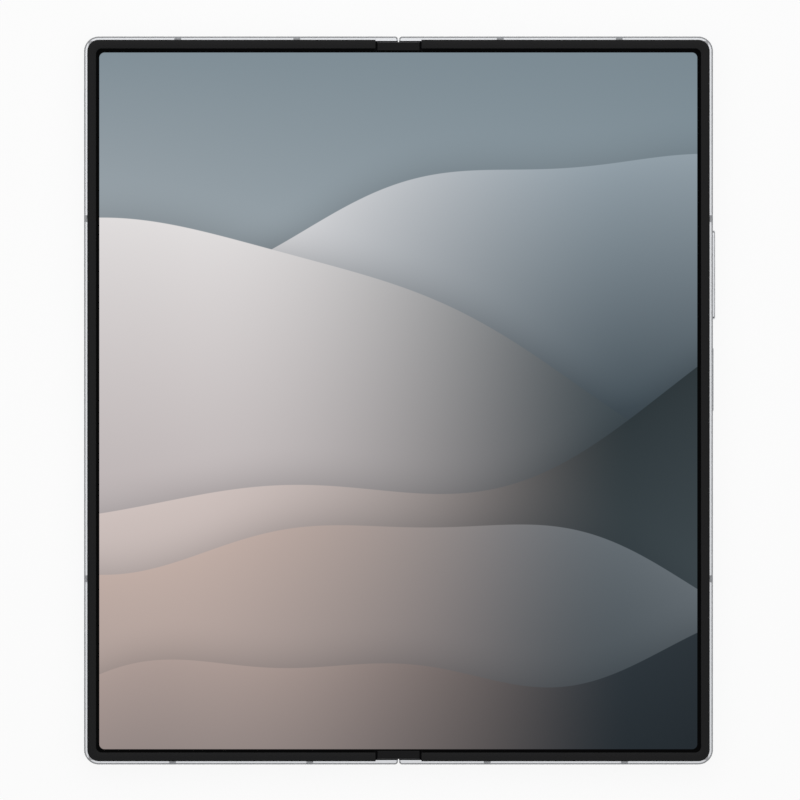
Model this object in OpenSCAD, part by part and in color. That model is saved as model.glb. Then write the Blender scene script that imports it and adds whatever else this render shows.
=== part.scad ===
// Foldable smartphone, lying open on its back.
// X runs across the fold, Y to the top of the phone, Z out of the display.
// The origin is on the fold line, level with the faces of the rear camera rings.

/* [Halves] */
// Fold line to the outer side of one half
half_w = 66.3; // [62:0.1:72]
// Height of the body
body_h = 153.5; // [146:0.5:162]
// Back face to the front face of the metal frame
half_t = 5.2; // [5.1:0.05:5.6]
// Radius of the outer corners, seen from the front
corner_r = 3.1; // [2.2:0.1:5]
// Radius of the corners next to the fold
fold_corner_r = 0.65; // [0.4:0.05:1]
// Chamfer along every metal edge
edge_c = 0.3; // [0.25:0.05:0.45]
// Gap between the two metal halves when open
open_gap = 0.24; // [0.2:0.02:0.4]
// Wall of the outer side of the frame
side_wall = 1.9; // [1.7:0.1:2.6]
// Wall of the top and bottom of the frame
end_wall = 1.9; // [1.7:0.1:2.6]
// Metal deck under the display
deck_t = 0.7; // [0.5:0.05:0.9]
// Thickness of the rear glass and of the cover glass
glass_t = 0.45; // [0.35:0.05:0.5]
// Metal left visible around the rear glass
glass_margin = 0.75; // [0.6:0.05:1.2]

/* [Display] */
// Thickness of the folding display
display_t = 0.5; // [0.4:0.05:0.6]
// Metal rim seen from the front
rim_w = 0.68; // [0.5:0.02:1]
// Width of the raised bezel
bezel_w = 1.88; // [1.5:0.02:2.6]
// Height of the bezel over the display
bezel_rise = 0.4; // [0.3:0.05:0.6]
// Inner corner radius of the bezel
window_r = 1.15; // [0.8:0.05:2]
// Display hidden under the bezel
display_lap = 0.8; // [0.5:0.05:1]
// Half the width of the display that bends
bend_w = 5; // [4.9:0.05:5.2]
// Gap from the bending display to the hinge caps
bend_end_gap = 0.1; // [0.05:0.05:0.3]

/* [Fold] */
// Gap between the two display surfaces when closed
closed_gap = 1.7; // [1.5:0.05:2]
// Fold axes below the front face
axis_drop = 0.6; // [0.5:0.05:0.7]
// Wall of each half that wraps behind the spine
wrap_t = 1.2; // [1.1:0.05:1.4]
// Gap between the spine and the halves
spine_gap = 0.15; // [0.1:0.01:0.2]
// Wall of the spine cover
spine_wall = 0.3; // [0.25:0.01:0.35]
// Metal across each end of the spine
fold_wall = 0.93; // [0.8:0.01:1.3]
// Gap from that metal to the spine
spine_end_gap = 0.22; // [0.15:0.01:0.4]
// Length of a hinge cap along the fold
cap_l = 1.75; // [1.4:0.05:2.4]
// Hinge cap below the top of the bezel
cap_drop = 0.1; // [0.05:0.01:0.2]

/* [Hinge] */
// Middle of a rail module below the top of the body
module_drop = 19.75; // [18.75:0.25:26]
// Length of a hinge module along the fold
module_l = 17; // [15:0.5:20]
// Wall at each end of a hinge module
module_wall = 1.4; // [1.2:0.1:2]
// Wall between the idler gears and the rails
mid_wall = 0.72; // [0.6:0.02:0.9]
// Thickness of a rail across its arc
rail_t = 0.76; // [0.6:0.02:0.85]
// Running gap on each side of a rail
rail_gap = 0.08; // [0.05:0.01:0.1]
// Arc covered by a rail
rail_arc = 147; // [140:1:150]
// Thickness of a bracket's bar
bar_t = 0.5; // [0.4:0.02:0.55]
// Outer end of a bracket, from the fold line
bracket_x = 13; // [11.5:0.5:15]
// Teeth on one gear
gear_teeth = 14; // [14:2:16]
// Teeth on a full turn of a bracket's ring
ring_teeth = 49; // [47:1:52]
// Metal outside the ring's teeth
ring_web = 0.3; // [0.25:0.01:0.35]
// Radius of a gear's journals
journal_r = 0.3; // [0.25:0.01:0.35]
// Running gap of journals and pivots
journal_gap = 0.03; // [0.02:0.005:0.05]
// Width of the idler gears
idler_w = 2.4; // [2:0.1:3]
// Width of a bracket screw's head
screw_head_r = 1.0; // [0.8:0.05:1.2]
// Radius of a bracket screw's thread
screw_r = 0.5; // [0.4:0.05:0.6]
// Reach of a bracket screw below the bracket
screw_reach = 1.8; // [1.4:0.1:2.2]

/* [Wing plates] */
// Pivot of a wing plate, from the fold line
wing_pivot_x = 6; // [5.9:0.05:6.3]
// Inner edge of a wing plate
wing_edge_x = 1.5; // [1.45:0.05:1.7]
// Thickness of a wing plate
wing_t = 0.25; // [0.2:0.01:0.28]
// Radius of its pivot pin
wing_pin_r = 0.25; // [0.2:0.01:0.28]
// Gap under the display
wing_gap = 0.05; // [0.03:0.01:0.08]
// Half the width of the fixed centre plate
centre_w = 1.3; // [1.1:0.05:1.35]
// Thickness of the fixed centre plate
centre_t = 0.35; // [0.25:0.01:0.4]

/* [Antenna bands] */
// Width of an antenna band
band_w = 1.45; // [1:0.05:2]
// Depth of an antenna band
band_d = 1.4; // [1:0.05:1.6]
// Outer band on the top edge, from the fold line
band_top_outer_x = 46.55; // [46:0.05:52]
// Inner band on the top edge, from the fold line
band_top_inner_x = 21.45; // [16:0.05:24]
// Outer band on the bottom edge, from the fold line
band_bottom_outer_x = 47.65; // [46:0.05:52]
// Inner band on the bottom edge, from the fold line
band_bottom_inner_x = 18.7; // [16:0.05:24]
// Upper band on the side edges, below the top of the body
band_upper_drop = 38.4; // [34.5:0.05:39.2]
// Lower band on the side edges, above the bottom of the body
band_lower_rise = 39.15; // [34.5:0.05:42]

/* [Keys] */
// Middle of the volume key below the top of the body
volume_drop = 50.25; // [49.75:0.05:51.25]
// Length of the volume key
volume_l = 18.8; // [16:0.1:19.5]
// Volume key above the metal
volume_proud = 0.49; // [0.3:0.01:0.6]
// Middle of the side key below the top of the body
side_key_drop = 72.35; // [71.75:0.05:73.75]
// Length of the side key
side_key_l = 13.3; // [12:0.1:14]
// Side key above the metal
side_key_proud = 0.12; // [0.05:0.01:0.3]
// Height of both keys, along Z
key_h = 1.9; // [1.6:0.05:2.2]
// Middle of both keys above the back
key_z = 2.55; // [2.4:0.05:2.7]
// Gap around a key
key_gap = 0.1; // [0.08:0.01:0.15]
// Flange that keeps a key in
key_flange = 0.5; // [0.4:0.05:0.7]
// Thickness of that flange
key_flange_t = 0.4; // [0.3:0.05:0.5]
// Free travel behind a key
key_travel = 0.25; // [0.2:0.01:0.3]
// Room in front of the volume key's flange, for its rocking
rock_gap = 0.22; // [0.2:0.01:0.25]
// Metal in front of a key's flange
key_face_t = 0.8; // [0.7:0.05:0.9]
// Thickness of the strip that holds the switches
switch_strip_t = 0.3; // [0.2:0.05:0.4]
// Width of a switch dome
switch_w = 3; // [2:0.1:4]

/* [Rear cameras] */
// Camera rings above the back
camera_bump = 1.7; // [1.3:0.05:2.2]
// Camera island above the back
island_rise = 0.6; // [0.4:0.05:0.8]
// Middle of the cameras from the outer side
camera_side = 12.9; // [12.3:0.1:14.3]
// Middle of the camera row below the top of the body
camera_drop = 28.15; // [26.75:0.05:29.75]
// Distance between the cameras
camera_pitch = 15.3; // [14.5:0.1:16]
// Outer radius of a camera ring
ring_r = 6.6; // [6:0.1:7]
// Wall of a camera ring
ring_wall = 0.95; // [0.7:0.05:1.2]
// Camera lens below the face of its ring
lens_drop = 0.25; // [0.15:0.05:0.5]
// Thickness of a camera lens
lens_t = 0.5; // [0.4:0.05:0.6]
// Margin of the island around the rings
island_margin = 2.1; // [1.6:0.1:2.6]
// Side of a camera module
camera_box = 10.6; // [9:0.1:11.5]
// Radius of a camera module's barrel
barrel_r = 4.1; // [3.5:0.1:4.5]
// Middle of the flash from the middle of the cameras
flash_dx = 12.6; // [11.4:0.1:14]
// Radius of the flash
flash_r = 2; // [1.6:0.1:2.6]

/* [Right half inside] */
// Fold line to the batteries and boards
inside_x = 14.6; // [14.5:0.1:15.5]
// Gap between the main board and the right battery
battery_gap_top = 2; // [1:0.1:5]
// Gap between the bottom board and the right battery
battery_gap_bottom = 3.95; // [2:0.05:6]
// Thickness of a battery
battery_t = 3.2; // [2.8:0.05:3.25]
// Corner radius of a battery
battery_r = 1.2; // [0.8:0.1:2]
// Length of the main board along Y
main_board_l = 53.15; // [51.55:0.05:53.55]
// Thickness of a circuit board
board_t = 0.8; // [0.6:0.05:0.9]
// Gap between the boards and the deck
board_gap = 0.2; // [0.1:0.05:0.3]
// Height of the shields on the main board
shield_t = 1.4; // [1:0.05:1.7]
// Outer radius of the charging coil
coil_r = 21; // [18:0.5:22]
// Inner radius of the charging coil
coil_inner_r = 10.5; // [8:0.5:12]
// Thickness of the charging coil
coil_t = 0.3; // [0.2:0.05:0.35]
// Width of the socket shell
usb_w = 8.94; // [8.9:0.01:9]
// Height of the socket shell
usb_h = 3.1; // [3:0.02:3.16]
// Sheet of the socket shell
usb_wall = 0.3; // [0.2:0.05:0.35]
// Length of the socket
usb_l = 7.3; // [6.8:0.1:8]
// Gap around parts in the frame walls
port_gap = 0.05; // [0.03:0.01:0.1]
// Height of the bottom board
usb_board_h = 9.6; // [8:0.1:10]
// Side of the vibration motor
motor_w = 9.5; // [8:0.1:10.5]
// Thickness of the vibration motor
motor_t = 2.9; // [2.4:0.05:3.1]
// Radius of a microphone hole
mic_r = 0.4; // [0.3:0.05:0.5]
// Length of a closing magnet
magnet_l = 17; // [12:0.5:18]
// Width of a closing magnet
magnet_w = 1.2; // [0.8:0.05:1.3]
// Height of a closing magnet
magnet_h = 2.4; // [1.8:0.1:2.8]
// Middle of the upper closing magnet below the top of the body
magnet_upper_drop = 16.75; // [14.75:0.25:21.75]
// Middle of the lower closing magnet above the bottom of the body
magnet_lower_rise = 36.75; // [32.75:0.25:40.75]

/* [Left half inside] */
// Gap between the top speaker and the left battery
speaker_battery_gap = 5.65; // [4:0.05:9]
// Gap between the card reader and the left battery
reader_battery_gap = 4.28; // [2:0.02:6]
// Thickness of the cover display
panel_t = 0.3; // [0.25:0.05:0.32]
// Edge of the cover glass left without display
panel_margin = 1.3; // [1.1:0.05:2]
// Middle of the cover camera below the top edge
cover_camera_drop = 7.6; // [7:0.1:8.5]
// Radius of the cover camera's window
cover_camera_r = 2; // [1.5:0.1:2.4]
// Side of the cover camera's module
cover_camera_box = 6.4; // [5:0.1:7]
// Width of the bottom speaker
speaker_w = 22; // [18:0.5:26]
// Width of the top speaker
earpiece_w = 14; // [10:0.5:14.5]
// Nearest edge of the top speaker from the middle of the half
earpiece_dx = 4.25; // [4:0.05:4.85]
// Height of a speaker along Y
speaker_h = 10; // [8:0.1:11]
// Thickness of a speaker
speaker_t = 2.9; // [2.4:0.05:3.05]
// Radius of the hole for the tray's pin
pin_r = 0.4; // [0.3:0.05:0.5]
// Radius of a sound hole
sound_r = 0.5; // [0.35:0.05:0.6]
// Number of sound holes at the bottom
sound_count = 6; // [4:1:7]
// Number of sound holes at the top
earpiece_count = 4; // [3:1:4]
// Distance between sound holes
sound_pitch = 2; // [1.6:0.1:2.4]
// Middle of the card tray above the bottom of the body
tray_rise = 22.25; // [21.75:0.05:22.75]
// Width of the card tray
tray_w = 9.4; // [9.2:0.1:10]
// Length of the card tray behind its face
tray_l = 15; // [14:0.1:17]
// Thickness of the card tray
tray_t = 1; // [0.9:0.05:1.1]
// Height of the tray's outer face, along Z
tray_face_h = 1.9; // [1.7:0.05:2.2]
// Thickness of the tray's outer face
tray_face_t = 1.1; // [0.9:0.05:1.4]
// Gap around the tray
tray_gap = 0.12; // [0.1:0.01:0.2]
// Wall of the card reader
reader_wall = 0.4; // [0.3:0.05:0.45]

/* [Hidden] */
$fn = 64;
over = 1;
camera_count = 3;
// Play between parts that are glued or seated
fit = 0.05;
hair = 0.01;

// Levels, up from the camera rings
z_back = camera_bump;
z_front = z_back + half_t;
z_bezel = z_front + bezel_rise;
z_deck = z_front - display_t;
z_pocket = z_deck - deck_t;
z_glass = z_back + glass_t;
z_panel = z_glass + panel_t;
z_axis = z_front - axis_drop;
z_key = z_back + key_z;

// Outline of one half
hy = body_h / 2;
fold_x = open_gap / 2;
rim_x = half_w - rim_w;
rim_y = hy - rim_w;
window_x = rim_x - bezel_w;
window_y = rim_y - bezel_w;
display_x = window_x + display_lap;
display_y = window_y + display_lap;
display_r = window_r + display_lap / 2;
glass_fit = fit;
glass_x0 = fold_x + glass_margin;
glass_x1 = half_w - glass_margin;
glass_y = hy - glass_margin;
pocket_x1 = half_w - side_wall;
pocket_y = hy - end_wall;
pocket_gap = 2;
pocket_rib = 1.6;

// Places of the keys and bands
band_upper_y = hy - band_upper_drop;
band_lower_y = hy - band_lower_rise;
volume_y = hy - volume_drop;
side_key_y = hy - side_key_drop;

// Fold
axis_x = closed_gap / 2 + axis_drop;
spine_r = z_axis - z_back - wrap_t - spine_gap;
spine_in_r = spine_r - spine_wall;
cavity_r = spine_r + spine_gap;
cavity_y = hy - fold_wall;
spine_y = cavity_y - spine_end_gap;
bezel_end_x = axis_x + cavity_r;
cap_y0 = spine_y - cap_l;
bend_y = cap_y0 - bend_end_gap;

// Hinge: rails turn about the fold axes between the spine cover and the bases
rail_out_r = spine_in_r - rail_gap;
rail_in_r = rail_out_r - rail_t;
core_r = rail_in_r - rail_gap;
rail_a0 = -20;
bar_drop = 0.75;
bar_z1 = z_deck - bar_drop;
bar_z0 = bar_z1 - bar_t;
base_rise = 0.35;
base_z1 = bar_z0 + base_rise;
module_y = hy - module_drop;
gear_end_gap = 0.1;
rail_y0 = idler_w / 2 + gear_end_gap + mid_wall + rail_gap;
rail_y1 = module_l / 2 - module_wall;
wing_z1 = z_deck - wing_gap;
wing_z0 = wing_z1 - wing_t;
pivot_drop = 0.15;
pivot_z = wing_z0 - pivot_drop;
wing_end_gap = 0.4;
wing_y = bend_y - wing_end_gap;
wing_pin_reach = 1;
wing_pin_y = wing_y + wing_pin_reach;
wing_bay_margin = 0.6;
wing_bay_gap = 0.3;
wing_bay_x = wing_pivot_x + wing_bay_margin;
wing_notch = 0.3;
centre_gap = 0.1;
centre_z1 = z_deck - centre_gap;
centre_z0 = centre_z1 - centre_t;
plate_gap = 0.3;
plate_x0 = wing_bay_x + plate_gap;
plate_z1 = z_deck - fit;
seat_gap = 0.1;
boss_wall = 1.2;
boss_x1 = bracket_x + boss_wall;
screw_x = (plate_x0 + bracket_x) / 2;
screw_inset = 3.6;
screw_dy = module_l / 2 - screw_inset;
screw_head_t = 0.4;
screw_seat_z = plate_z1 - screw_head_t - fit;

// Gears: tooth size follows the room inside the spine
tooth_out = 0.75;
tooth_in = 1.1;
tooth_m = (rail_out_r - ring_web) / (ring_teeth / 2 + tooth_in);
ring_pitch_r = tooth_m * ring_teeth / 2;
gear_pitch_r = tooth_m * gear_teeth / 2;
gear_out_r = gear_pitch_r + tooth_out * tooth_m;
gear_x = 3 * gear_pitch_r;
gear_reach = ring_pitch_r - gear_pitch_r;
gear_z = z_axis - sqrt(pow(gear_reach, 2) - pow(gear_x - axis_x, 2));
mesh_a = atan2(gear_z - z_axis, gear_x - axis_x);
journal_l = 0.6;
base_fit = 0.02;
tip_half = 0.115;
root_half = 0.33;
space_tip_half = 0.2;
space_root_half = 0.36;
gear_room = 0.07;
bar_gap = 0.08;
channel_a1 = 60;
blind_wall = 0.4;
channel_a_gap = 3;
cover_rise = 0.3;
rib_gap = 0.5;
cap_inset = 0.15;
cap_shelf = 0.35;
cap_lap = 0.1;
cap_bevel = 0.35;

// Cameras, keys and ports
camera_x = half_w - camera_side;
camera_y = hy - camera_drop;
flash_x = camera_x - flash_dx;
key_face_x = half_w - key_face_t;
mid_x = half_w / 2;
usb_z = z_pocket - usb_h / 2;
tray_y = hy - tray_rise;
tray_z = z_key;
tray_in_x = half_w - tray_face_t - tray_l;
earpiece_x = mid_x + earpiece_dx;

// Boards and batteries
board_z = z_pocket - board_gap - board_t;
board_r = 0.8;
left_board_gap = 4;
speaker_gap = 0.2;
board_end_gap = 0.3;
main_board_y = pocket_y - board_end_gap - main_board_l;
battery_r_top = main_board_y - battery_gap_top;
battery_r_bottom = -pocket_y + board_end_gap + usb_board_h + battery_gap_bottom;
battery_l_top = pocket_y - speaker_gap - speaker_h - speaker_battery_gap;
reader_hw = tray_w / 2 + tray_gap + reader_wall;
battery_l_bottom = -tray_y + reader_hw + reader_battery_gap;
battery_side_gap = 3;
small_r = 1;
mic_dx = 5;
usb_mic_dx = 6;
usb_corner = 0.35;
usb_back_t = 0.8;
tongue_t = 0.7;
tongue_gap = 0.85;
tongue_drop = 0.7;
tongue_root = 0.4;
camera_gap = 0.1;
camera_bore_gap = 0.2;
barrel_lap = 1;
flash_rise = 0.4;
shield_margin = 1;
shield_gap = 1.5;
shield_l = 26;
key_round = 0.15;
strip_reach = 1;
strip_drop = 0.4;
dome_margin = 0.2;
tray_end = 0.8;
tray_wall = 0.5;
tray_floor = 0.25;
tray_round = 0.1;
pin_floor = 0.3;
pin_inset = 0.4;
lens_fit = 0.02;
island_hw = ring_r + island_margin;
island_hl = camera_pitch * (camera_count - 1) / 2 + island_hw;

metal = [0.74, 0.76, 0.79];
steel = [0.62, 0.63, 0.66];
black = [0.07, 0.07, 0.08];
green = [0.1, 0.3, 0.22];

// ---------- Shapes used more than once ----------

module level(z0, z1) {
  translate([0, 0, z0]) linear_extrude(z1 - z0) children();
}

module along_y(y0, y1) {
  translate([0, y1, 0]) rotate([90, 0, 0]) linear_extrude(y1 - y0) children();
}

module along_x(x0, x1) {
  translate([x0, 0, 0]) rotate([90, 0, 90]) linear_extrude(x1 - x0) children();
}

module box(x0, x1, y0, y1, z0, z1) {
  translate([x0, y0, z0]) cube([x1 - x0, y1 - y0, z1 - z0]);
}

module bore_y(x, z, y0, y1, r) {
  translate([x, y1, z]) rotate([90, 0, 0]) cylinder(r = r, h = y1 - y0);
}

module rounded(x0, x1, y0, y1, r) {
  translate([x0 + r, y0]) square([x1 - x0 - 2 * r, y1 - y0]);
  translate([x0, y0 + r]) square([x1 - x0, y1 - y0 - 2 * r]);
  for (x = [x0 + r, x1 - r], y = [y0 + r, y1 - r]) translate([x, y]) circle(r);
}

// Outline with square corners at the fold and round ones outside
module bay(x0, x1, y, r) {
  translate([x0, -y]) square([x1 - x0 - r, 2 * y]);
  translate([x1 - 2 * r, -y + r]) square([2 * r, 2 * (y - r)]);
  for (s = [-1, 1]) translate([x1 - r, s * (y - r)]) circle(r);
}

// Outline with small round corners at the fold and larger ones outside
module half_plan(x0, x1, y, r0, r1) {
  translate([x0 + r0, -y]) square([x1 - x0 - r0 - r1, 2 * y]);
  translate([x0, -y + r0]) square([2 * r0, 2 * (y - r0)]);
  translate([x1 - 2 * r1, -y + r1]) square([2 * r1, 2 * (y - r1)]);
  for (s = [-1, 1]) {
    translate([x0 + r0, s * (y - r0)]) circle(r0);
    translate([x1 - r1, s * (y - r1)]) circle(r1);
  }
}

// Rectangle with all four corners cut at 45 degrees
module cut_rect(u0, u1, v0, v1, c) {
  polygon([
    [u0 + c, v0], [u1 - c, v0], [u1, v0 + c], [u1, v1 - c],
    [u1 - c, v1], [u0 + c, v1], [u0, v1 - c], [u0, v0 + c]
  ]);
}

module chamfered_post(r, z0, z1, c) {
  translate([0, 0, z0]) cylinder(r1 = r - c, r2 = r, h = c);
  translate([0, 0, z0 + c]) cylinder(r = r, h = z1 - z0 - 2 * c);
  translate([0, 0, z1 - c]) cylinder(r1 = r, r2 = r - c, h = c);
}

// One half as a solid block with chamfered edges
module half_block() {
  c = edge_c;
  along_y(-(hy - corner_r), hy - corner_r) cut_rect(fold_x, half_w, z_back, z_front, c);
  along_y(-(hy - fold_corner_r), hy - fold_corner_r)
    cut_rect(fold_x, fold_x + 2 * corner_r, z_back, z_front, c);
  along_x(fold_x + fold_corner_r, half_w - corner_r) cut_rect(-hy, hy, z_back, z_front, c);
  for (s = [-1, 1]) {
    translate([fold_x + fold_corner_r, s * (hy - fold_corner_r), 0])
      chamfered_post(fold_corner_r, z_back, z_front, c);
    translate([half_w - corner_r, s * (hy - corner_r), 0])
      chamfered_post(corner_r, z_back, z_front, c);
  }
}

// Section of everything within r of both fold axes, flat between them
module spine_section(r, z1) {
  intersection() {
    union() {
      for (s = [-1, 1]) translate([s * axis_x, z_axis]) circle(r);
      translate([-axis_x, z_axis - r]) square([2 * axis_x, 2 * r]);
    }
    translate([-r - axis_x, z_axis - r - over]) square([2 * (r + axis_x), z1 - z_axis + r + over]);
  }
}

module mirrored() {
  mirror([1, 0, 0]) children();
}

// Room in a half for the spine, the wing plate and its pivots
module fold_room() {
  along_y(-cavity_y, cavity_y) {
    translate([axis_x, z_axis]) circle(cavity_r);
    translate([-over, z_axis - cavity_r]) square([axis_x + over, half_t]);
    translate([-over, z_axis]) square([bezel_end_x + over, half_t]);
  }
  box(axis_x, wing_bay_x, -wing_y - wing_bay_gap, wing_y + wing_bay_gap, bar_z0, z_front + over);
  bore_y(wing_pivot_x, pivot_z, -wing_pin_y - seat_gap, wing_pin_y + seat_gap, wing_pin_r + journal_gap);
}

// Seats for the three hinge brackets, open to the front
module bracket_seats() {
  for (y = [-module_y, 0, module_y]) {
    box(axis_x, bracket_x + seat_gap, y - module_l / 2 - seat_gap, y + module_l / 2 + seat_gap,
      bar_z0, z_front + over);
    for (d = [-screw_dy, screw_dy]) translate([screw_x, y + d, bar_z0 - screw_reach - seat_gap])
      cylinder(r = screw_r + port_gap / 2, h = screw_reach + over);
  }
}

// Rear pocket: one wide bay, and small bays between the bracket bosses
module rear_pocket() {
  y0 = module_l / 2 + pocket_gap;
  y1 = module_y - y0;
  level(z_back - over, z_pocket) {
    rounded(boss_x1, pocket_x1, -pocket_y, pocket_y, battery_r);
    for (s = [0, 1]) mirror([0, s, 0])
      rounded(wing_bay_x + pocket_rib, boss_x1 + 3 * battery_r, y0, y1, battery_r);
  }
}

module glass_plan(grow) {
  r1 = corner_r - glass_margin + grow;
  half_plan(glass_x0 - grow, glass_x1 + grow, glass_y + grow, fold_corner_r, r1);
}

// One half of the frame before its own side's openings are cut
module half_shell() {
  difference() {
    half_block();
    level(z_deck, z_front + over) bay(bezel_end_x, rim_x, rim_y, corner_r - rim_w);
    fold_room();
    bracket_seats();
    level(z_back - over, z_glass) glass_plan(glass_fit);
    rear_pocket();
  }
}

module band_boxes() {
  z0 = z_back - over;
  z1 = z_front + over;
  for (x = [band_top_inner_x, band_top_outer_x])
    box(x - band_w / 2, x + band_w / 2, hy - band_d, hy + over, z0, z1);
  for (x = [band_bottom_inner_x, band_bottom_outer_x])
    box(x - band_w / 2, x + band_w / 2, -hy - over, -hy + band_d, z0, z1);
  for (y = [band_upper_y, -band_lower_y])
    box(half_w - band_d, half_w + over, y - band_w / 2, y + band_w / 2, z0, z1);
}

module bezel() {
  difference() {
    level(z_deck, z_bezel) bay(bezel_end_x, rim_x, rim_y, corner_r - rim_w);
    level(z_deck - over, z_bezel + over) bay(-over, window_x, window_y, window_r);
    level(z_deck - over, z_front) bay(-over, display_x + glass_fit, display_y + glass_fit, display_r);
  }
}

module display_half() {
  level(z_deck, z_front) bay(bend_w, display_x, display_y, display_r);
}

// Wing plate: carries the display beside the spine and swings away as it folds
module wing_plate() {
  difference() {
    box(wing_edge_x, wing_pivot_x, -wing_y, wing_y, wing_z0, wing_z1);
    for (y = [-module_y, 0, module_y])
      box(wing_edge_x - over, bezel_end_x + seat_gap, y - module_l / 2 + wing_notch,
        y + module_l / 2 - wing_notch, wing_z0 - over, wing_z1 + over);
  }
  bore_y(wing_pivot_x, pivot_z, -wing_pin_y, wing_pin_y, wing_pin_r);
}

// Flat ring sector about the fold axis, between two angles
module arc_band(r0, r1, a0, a1) {
  reach = 2 * r1;
  steps = 6;
  difference() {
    circle(r1);
    circle(r0);
    polygon(concat([[0, 0]],
      [for (i = [0:steps]) let (a = a1 + (a0 + 360 - a1) * i / steps) reach * [cos(a), sin(a)]]));
  }
}

// Plate and bar of a bracket: the bar crosses the wall of the spine
module bracket_plate(y0, y1) {
  bar_x0 = axis_x + rail_in_r * cos(asin((z_axis - bar_z1) / rail_in_r)) + base_fit;
  difference() {
    union() {
      box(bar_x0, plate_x0 + over, y0, y1, bar_z0, bar_z1);
      box(plate_x0, bracket_x, -module_l / 2, module_l / 2, bar_z0, plate_z1);
    }
    for (d = [-screw_dy, screw_dy]) translate([screw_x, d, 0]) {
      translate([0, 0, bar_z0 - over]) cylinder(r = screw_r + port_gap, h = 3 * over);
      translate([0, 0, screw_seat_z]) cylinder(r = screw_head_r + port_gap, h = over);
    }
  }
}

module rail_bracket(y) {
  translate([0, y, 0]) {
    bracket_plate(rail_y0, rail_y1);
    along_y(rail_y0, rail_y1) translate([axis_x, z_axis])
      arc_band(rail_in_r, rail_out_r, rail_a0 - rail_arc, rail_a0);
  }
}

// Teeth as trapezoids, one polygon round the gear
module gear_section(n, phase) {
  r_out = gear_out_r;
  r_root = gear_pitch_r - tooth_in * tooth_m;
  step = 360 / n;
  polygon([for (i = [0:n - 1]) let (a = phase + i * step) for (p = [
    [r_root, -root_half], [r_out, -tip_half], [r_out, tip_half], [r_root, root_half]
  ]) p[0] * [cos(a + p[1] * step), sin(a + p[1] * step)]]);
}

// Internal teeth: the spaces of a full ring, cut from a band
module ring_spaces(phase) {
  r_tip = ring_pitch_r - tooth_out * tooth_m;
  r_root = ring_pitch_r + tooth_in * tooth_m;
  r_lap = r_tip - fit;
  step = 360 / ring_teeth;
  circle(r_tip);
  for (i = [-ceil((rail_arc - rail_a0) / step):ceil(-rail_a0 / 2 / step)]) {
    a = phase + i * step;
    polygon([for (p = [
      [r_lap, -space_root_half], [r_root, -space_tip_half],
      [r_root, space_tip_half], [r_lap, space_root_half]
    ]) p[0] * [cos(a + p[1] * step), sin(a + p[1] * step)]]);
  }
}

// A gear tooth centred at angle tooth_a faces a space of the ring at this angle
function ring_phase(tooth_a) = mesh_a - (mesh_a - tooth_a) * gear_pitch_r / ring_pitch_r;

module sync_bracket(tooth_a) {
  bracket_plate(rail_y0, rail_y1);
  along_y(rail_y0, rail_y1) translate([axis_x, z_axis]) difference() {
    arc_band(rail_in_r, rail_out_r, rail_a0 - rail_arc, rail_a0);
    ring_spaces(ring_phase(tooth_a));
  }
}

module bracket_screws() {
  for (y = [-module_y, 0, module_y], d = [-screw_dy, screw_dy]) translate([screw_x, y + d, 0]) {
    translate([0, 0, screw_seat_z]) cylinder(r = screw_head_r, h = screw_head_t);
    translate([0, 0, bar_z0 - screw_reach])
      cylinder(r = screw_r, h = screw_reach + screw_seat_z - bar_z0 + seat_gap);
  }
}

module battery(y0, y1) {
  level(z_pocket - battery_t, z_pocket)
    rounded(inside_x, pocket_x1 - battery_side_gap, y0, y1, battery_r);
}

module magnets() {
  for (y = [hy - magnet_upper_drop, -hy + magnet_lower_rise])
    box(pocket_x1 - magnet_w - fit, pocket_x1 - fit, y - magnet_l / 2, y + magnet_l / 2,
      z_pocket - magnet_h, z_pocket);
}

// ---------- Right half ----------

module key_slot(y, l) {
  h = key_h / 2;
  flange_y = l / 2 + key_flange + key_gap;
  box(key_face_x - over, half_w + over, y - l / 2 - key_gap, y + l / 2 + key_gap,
    z_key - h - key_gap, z_key + h + key_gap);
  box(pocket_x1 - over, key_face_x, y - flange_y, y + flange_y, z_key - h - key_gap, z_key + h + key_gap);
}

module usb_outline(grow) {
  rounded(mid_x - usb_w / 2 - grow, mid_x + usb_w / 2 + grow, usb_z - usb_h / 2 - grow,
    usb_z + usb_h / 2 + grow, usb_h / 2 - usb_corner + grow);
}

module right_blank() {
  difference() {
    half_shell();
    key_slot(volume_y, volume_l);
    key_slot(side_key_y, side_key_l);
    along_y(-hy - over, -pocket_y + over) usb_outline(port_gap);
    bore_y(mid_x + usb_w / 2 + usb_mic_dx, usb_z, -hy - over, -pocket_y + over, mic_r);
  }
}

module right_frame() {
  color(metal) difference() {
    right_blank();
    band_boxes();
  }
}

module right_antenna_bands() {
  color([0.55, 0.57, 0.6]) intersection() {
    right_blank();
    band_boxes();
  }
}

module right_bezel() {
  color(black) bezel();
}

module display_right() {
  color([0.5, 0.55, 0.6]) display_half();
}

module right_wing_plate() {
  color(steel) wing_plate();
}

module right_rail_bracket_top() {
  color(steel) rail_bracket(module_y);
}

module right_rail_bracket_bottom() {
  color(steel) rail_bracket(-module_y);
}

module right_sync_bracket() {
  color(steel) sync_bracket(180 / gear_teeth);
}

module right_screws() {
  color([0.3, 0.3, 0.32]) bracket_screws();
}

module island_plan(grow) {
  rounded(camera_x - island_hw - grow, camera_x + island_hw + grow, camera_y - island_hl - grow,
    camera_y + island_hl + grow, island_hw + grow - hair);
}

function camera_at(i) = camera_y + camera_pitch * ((camera_count - 1) / 2 - i);
module at_camera(i) {
  translate([camera_x, camera_at(i), 0]) children();
}

module back_glass() {
  color([0.12, 0.14, 0.2]) difference() {
    level(z_back, z_glass) glass_plan(0);
    level(z_back - over, z_glass + over) island_plan(glass_fit);
    translate([flash_x, camera_at(0), z_back - over]) cylinder(r = flash_r + glass_fit, h = 3 * over);
  }
}

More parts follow.
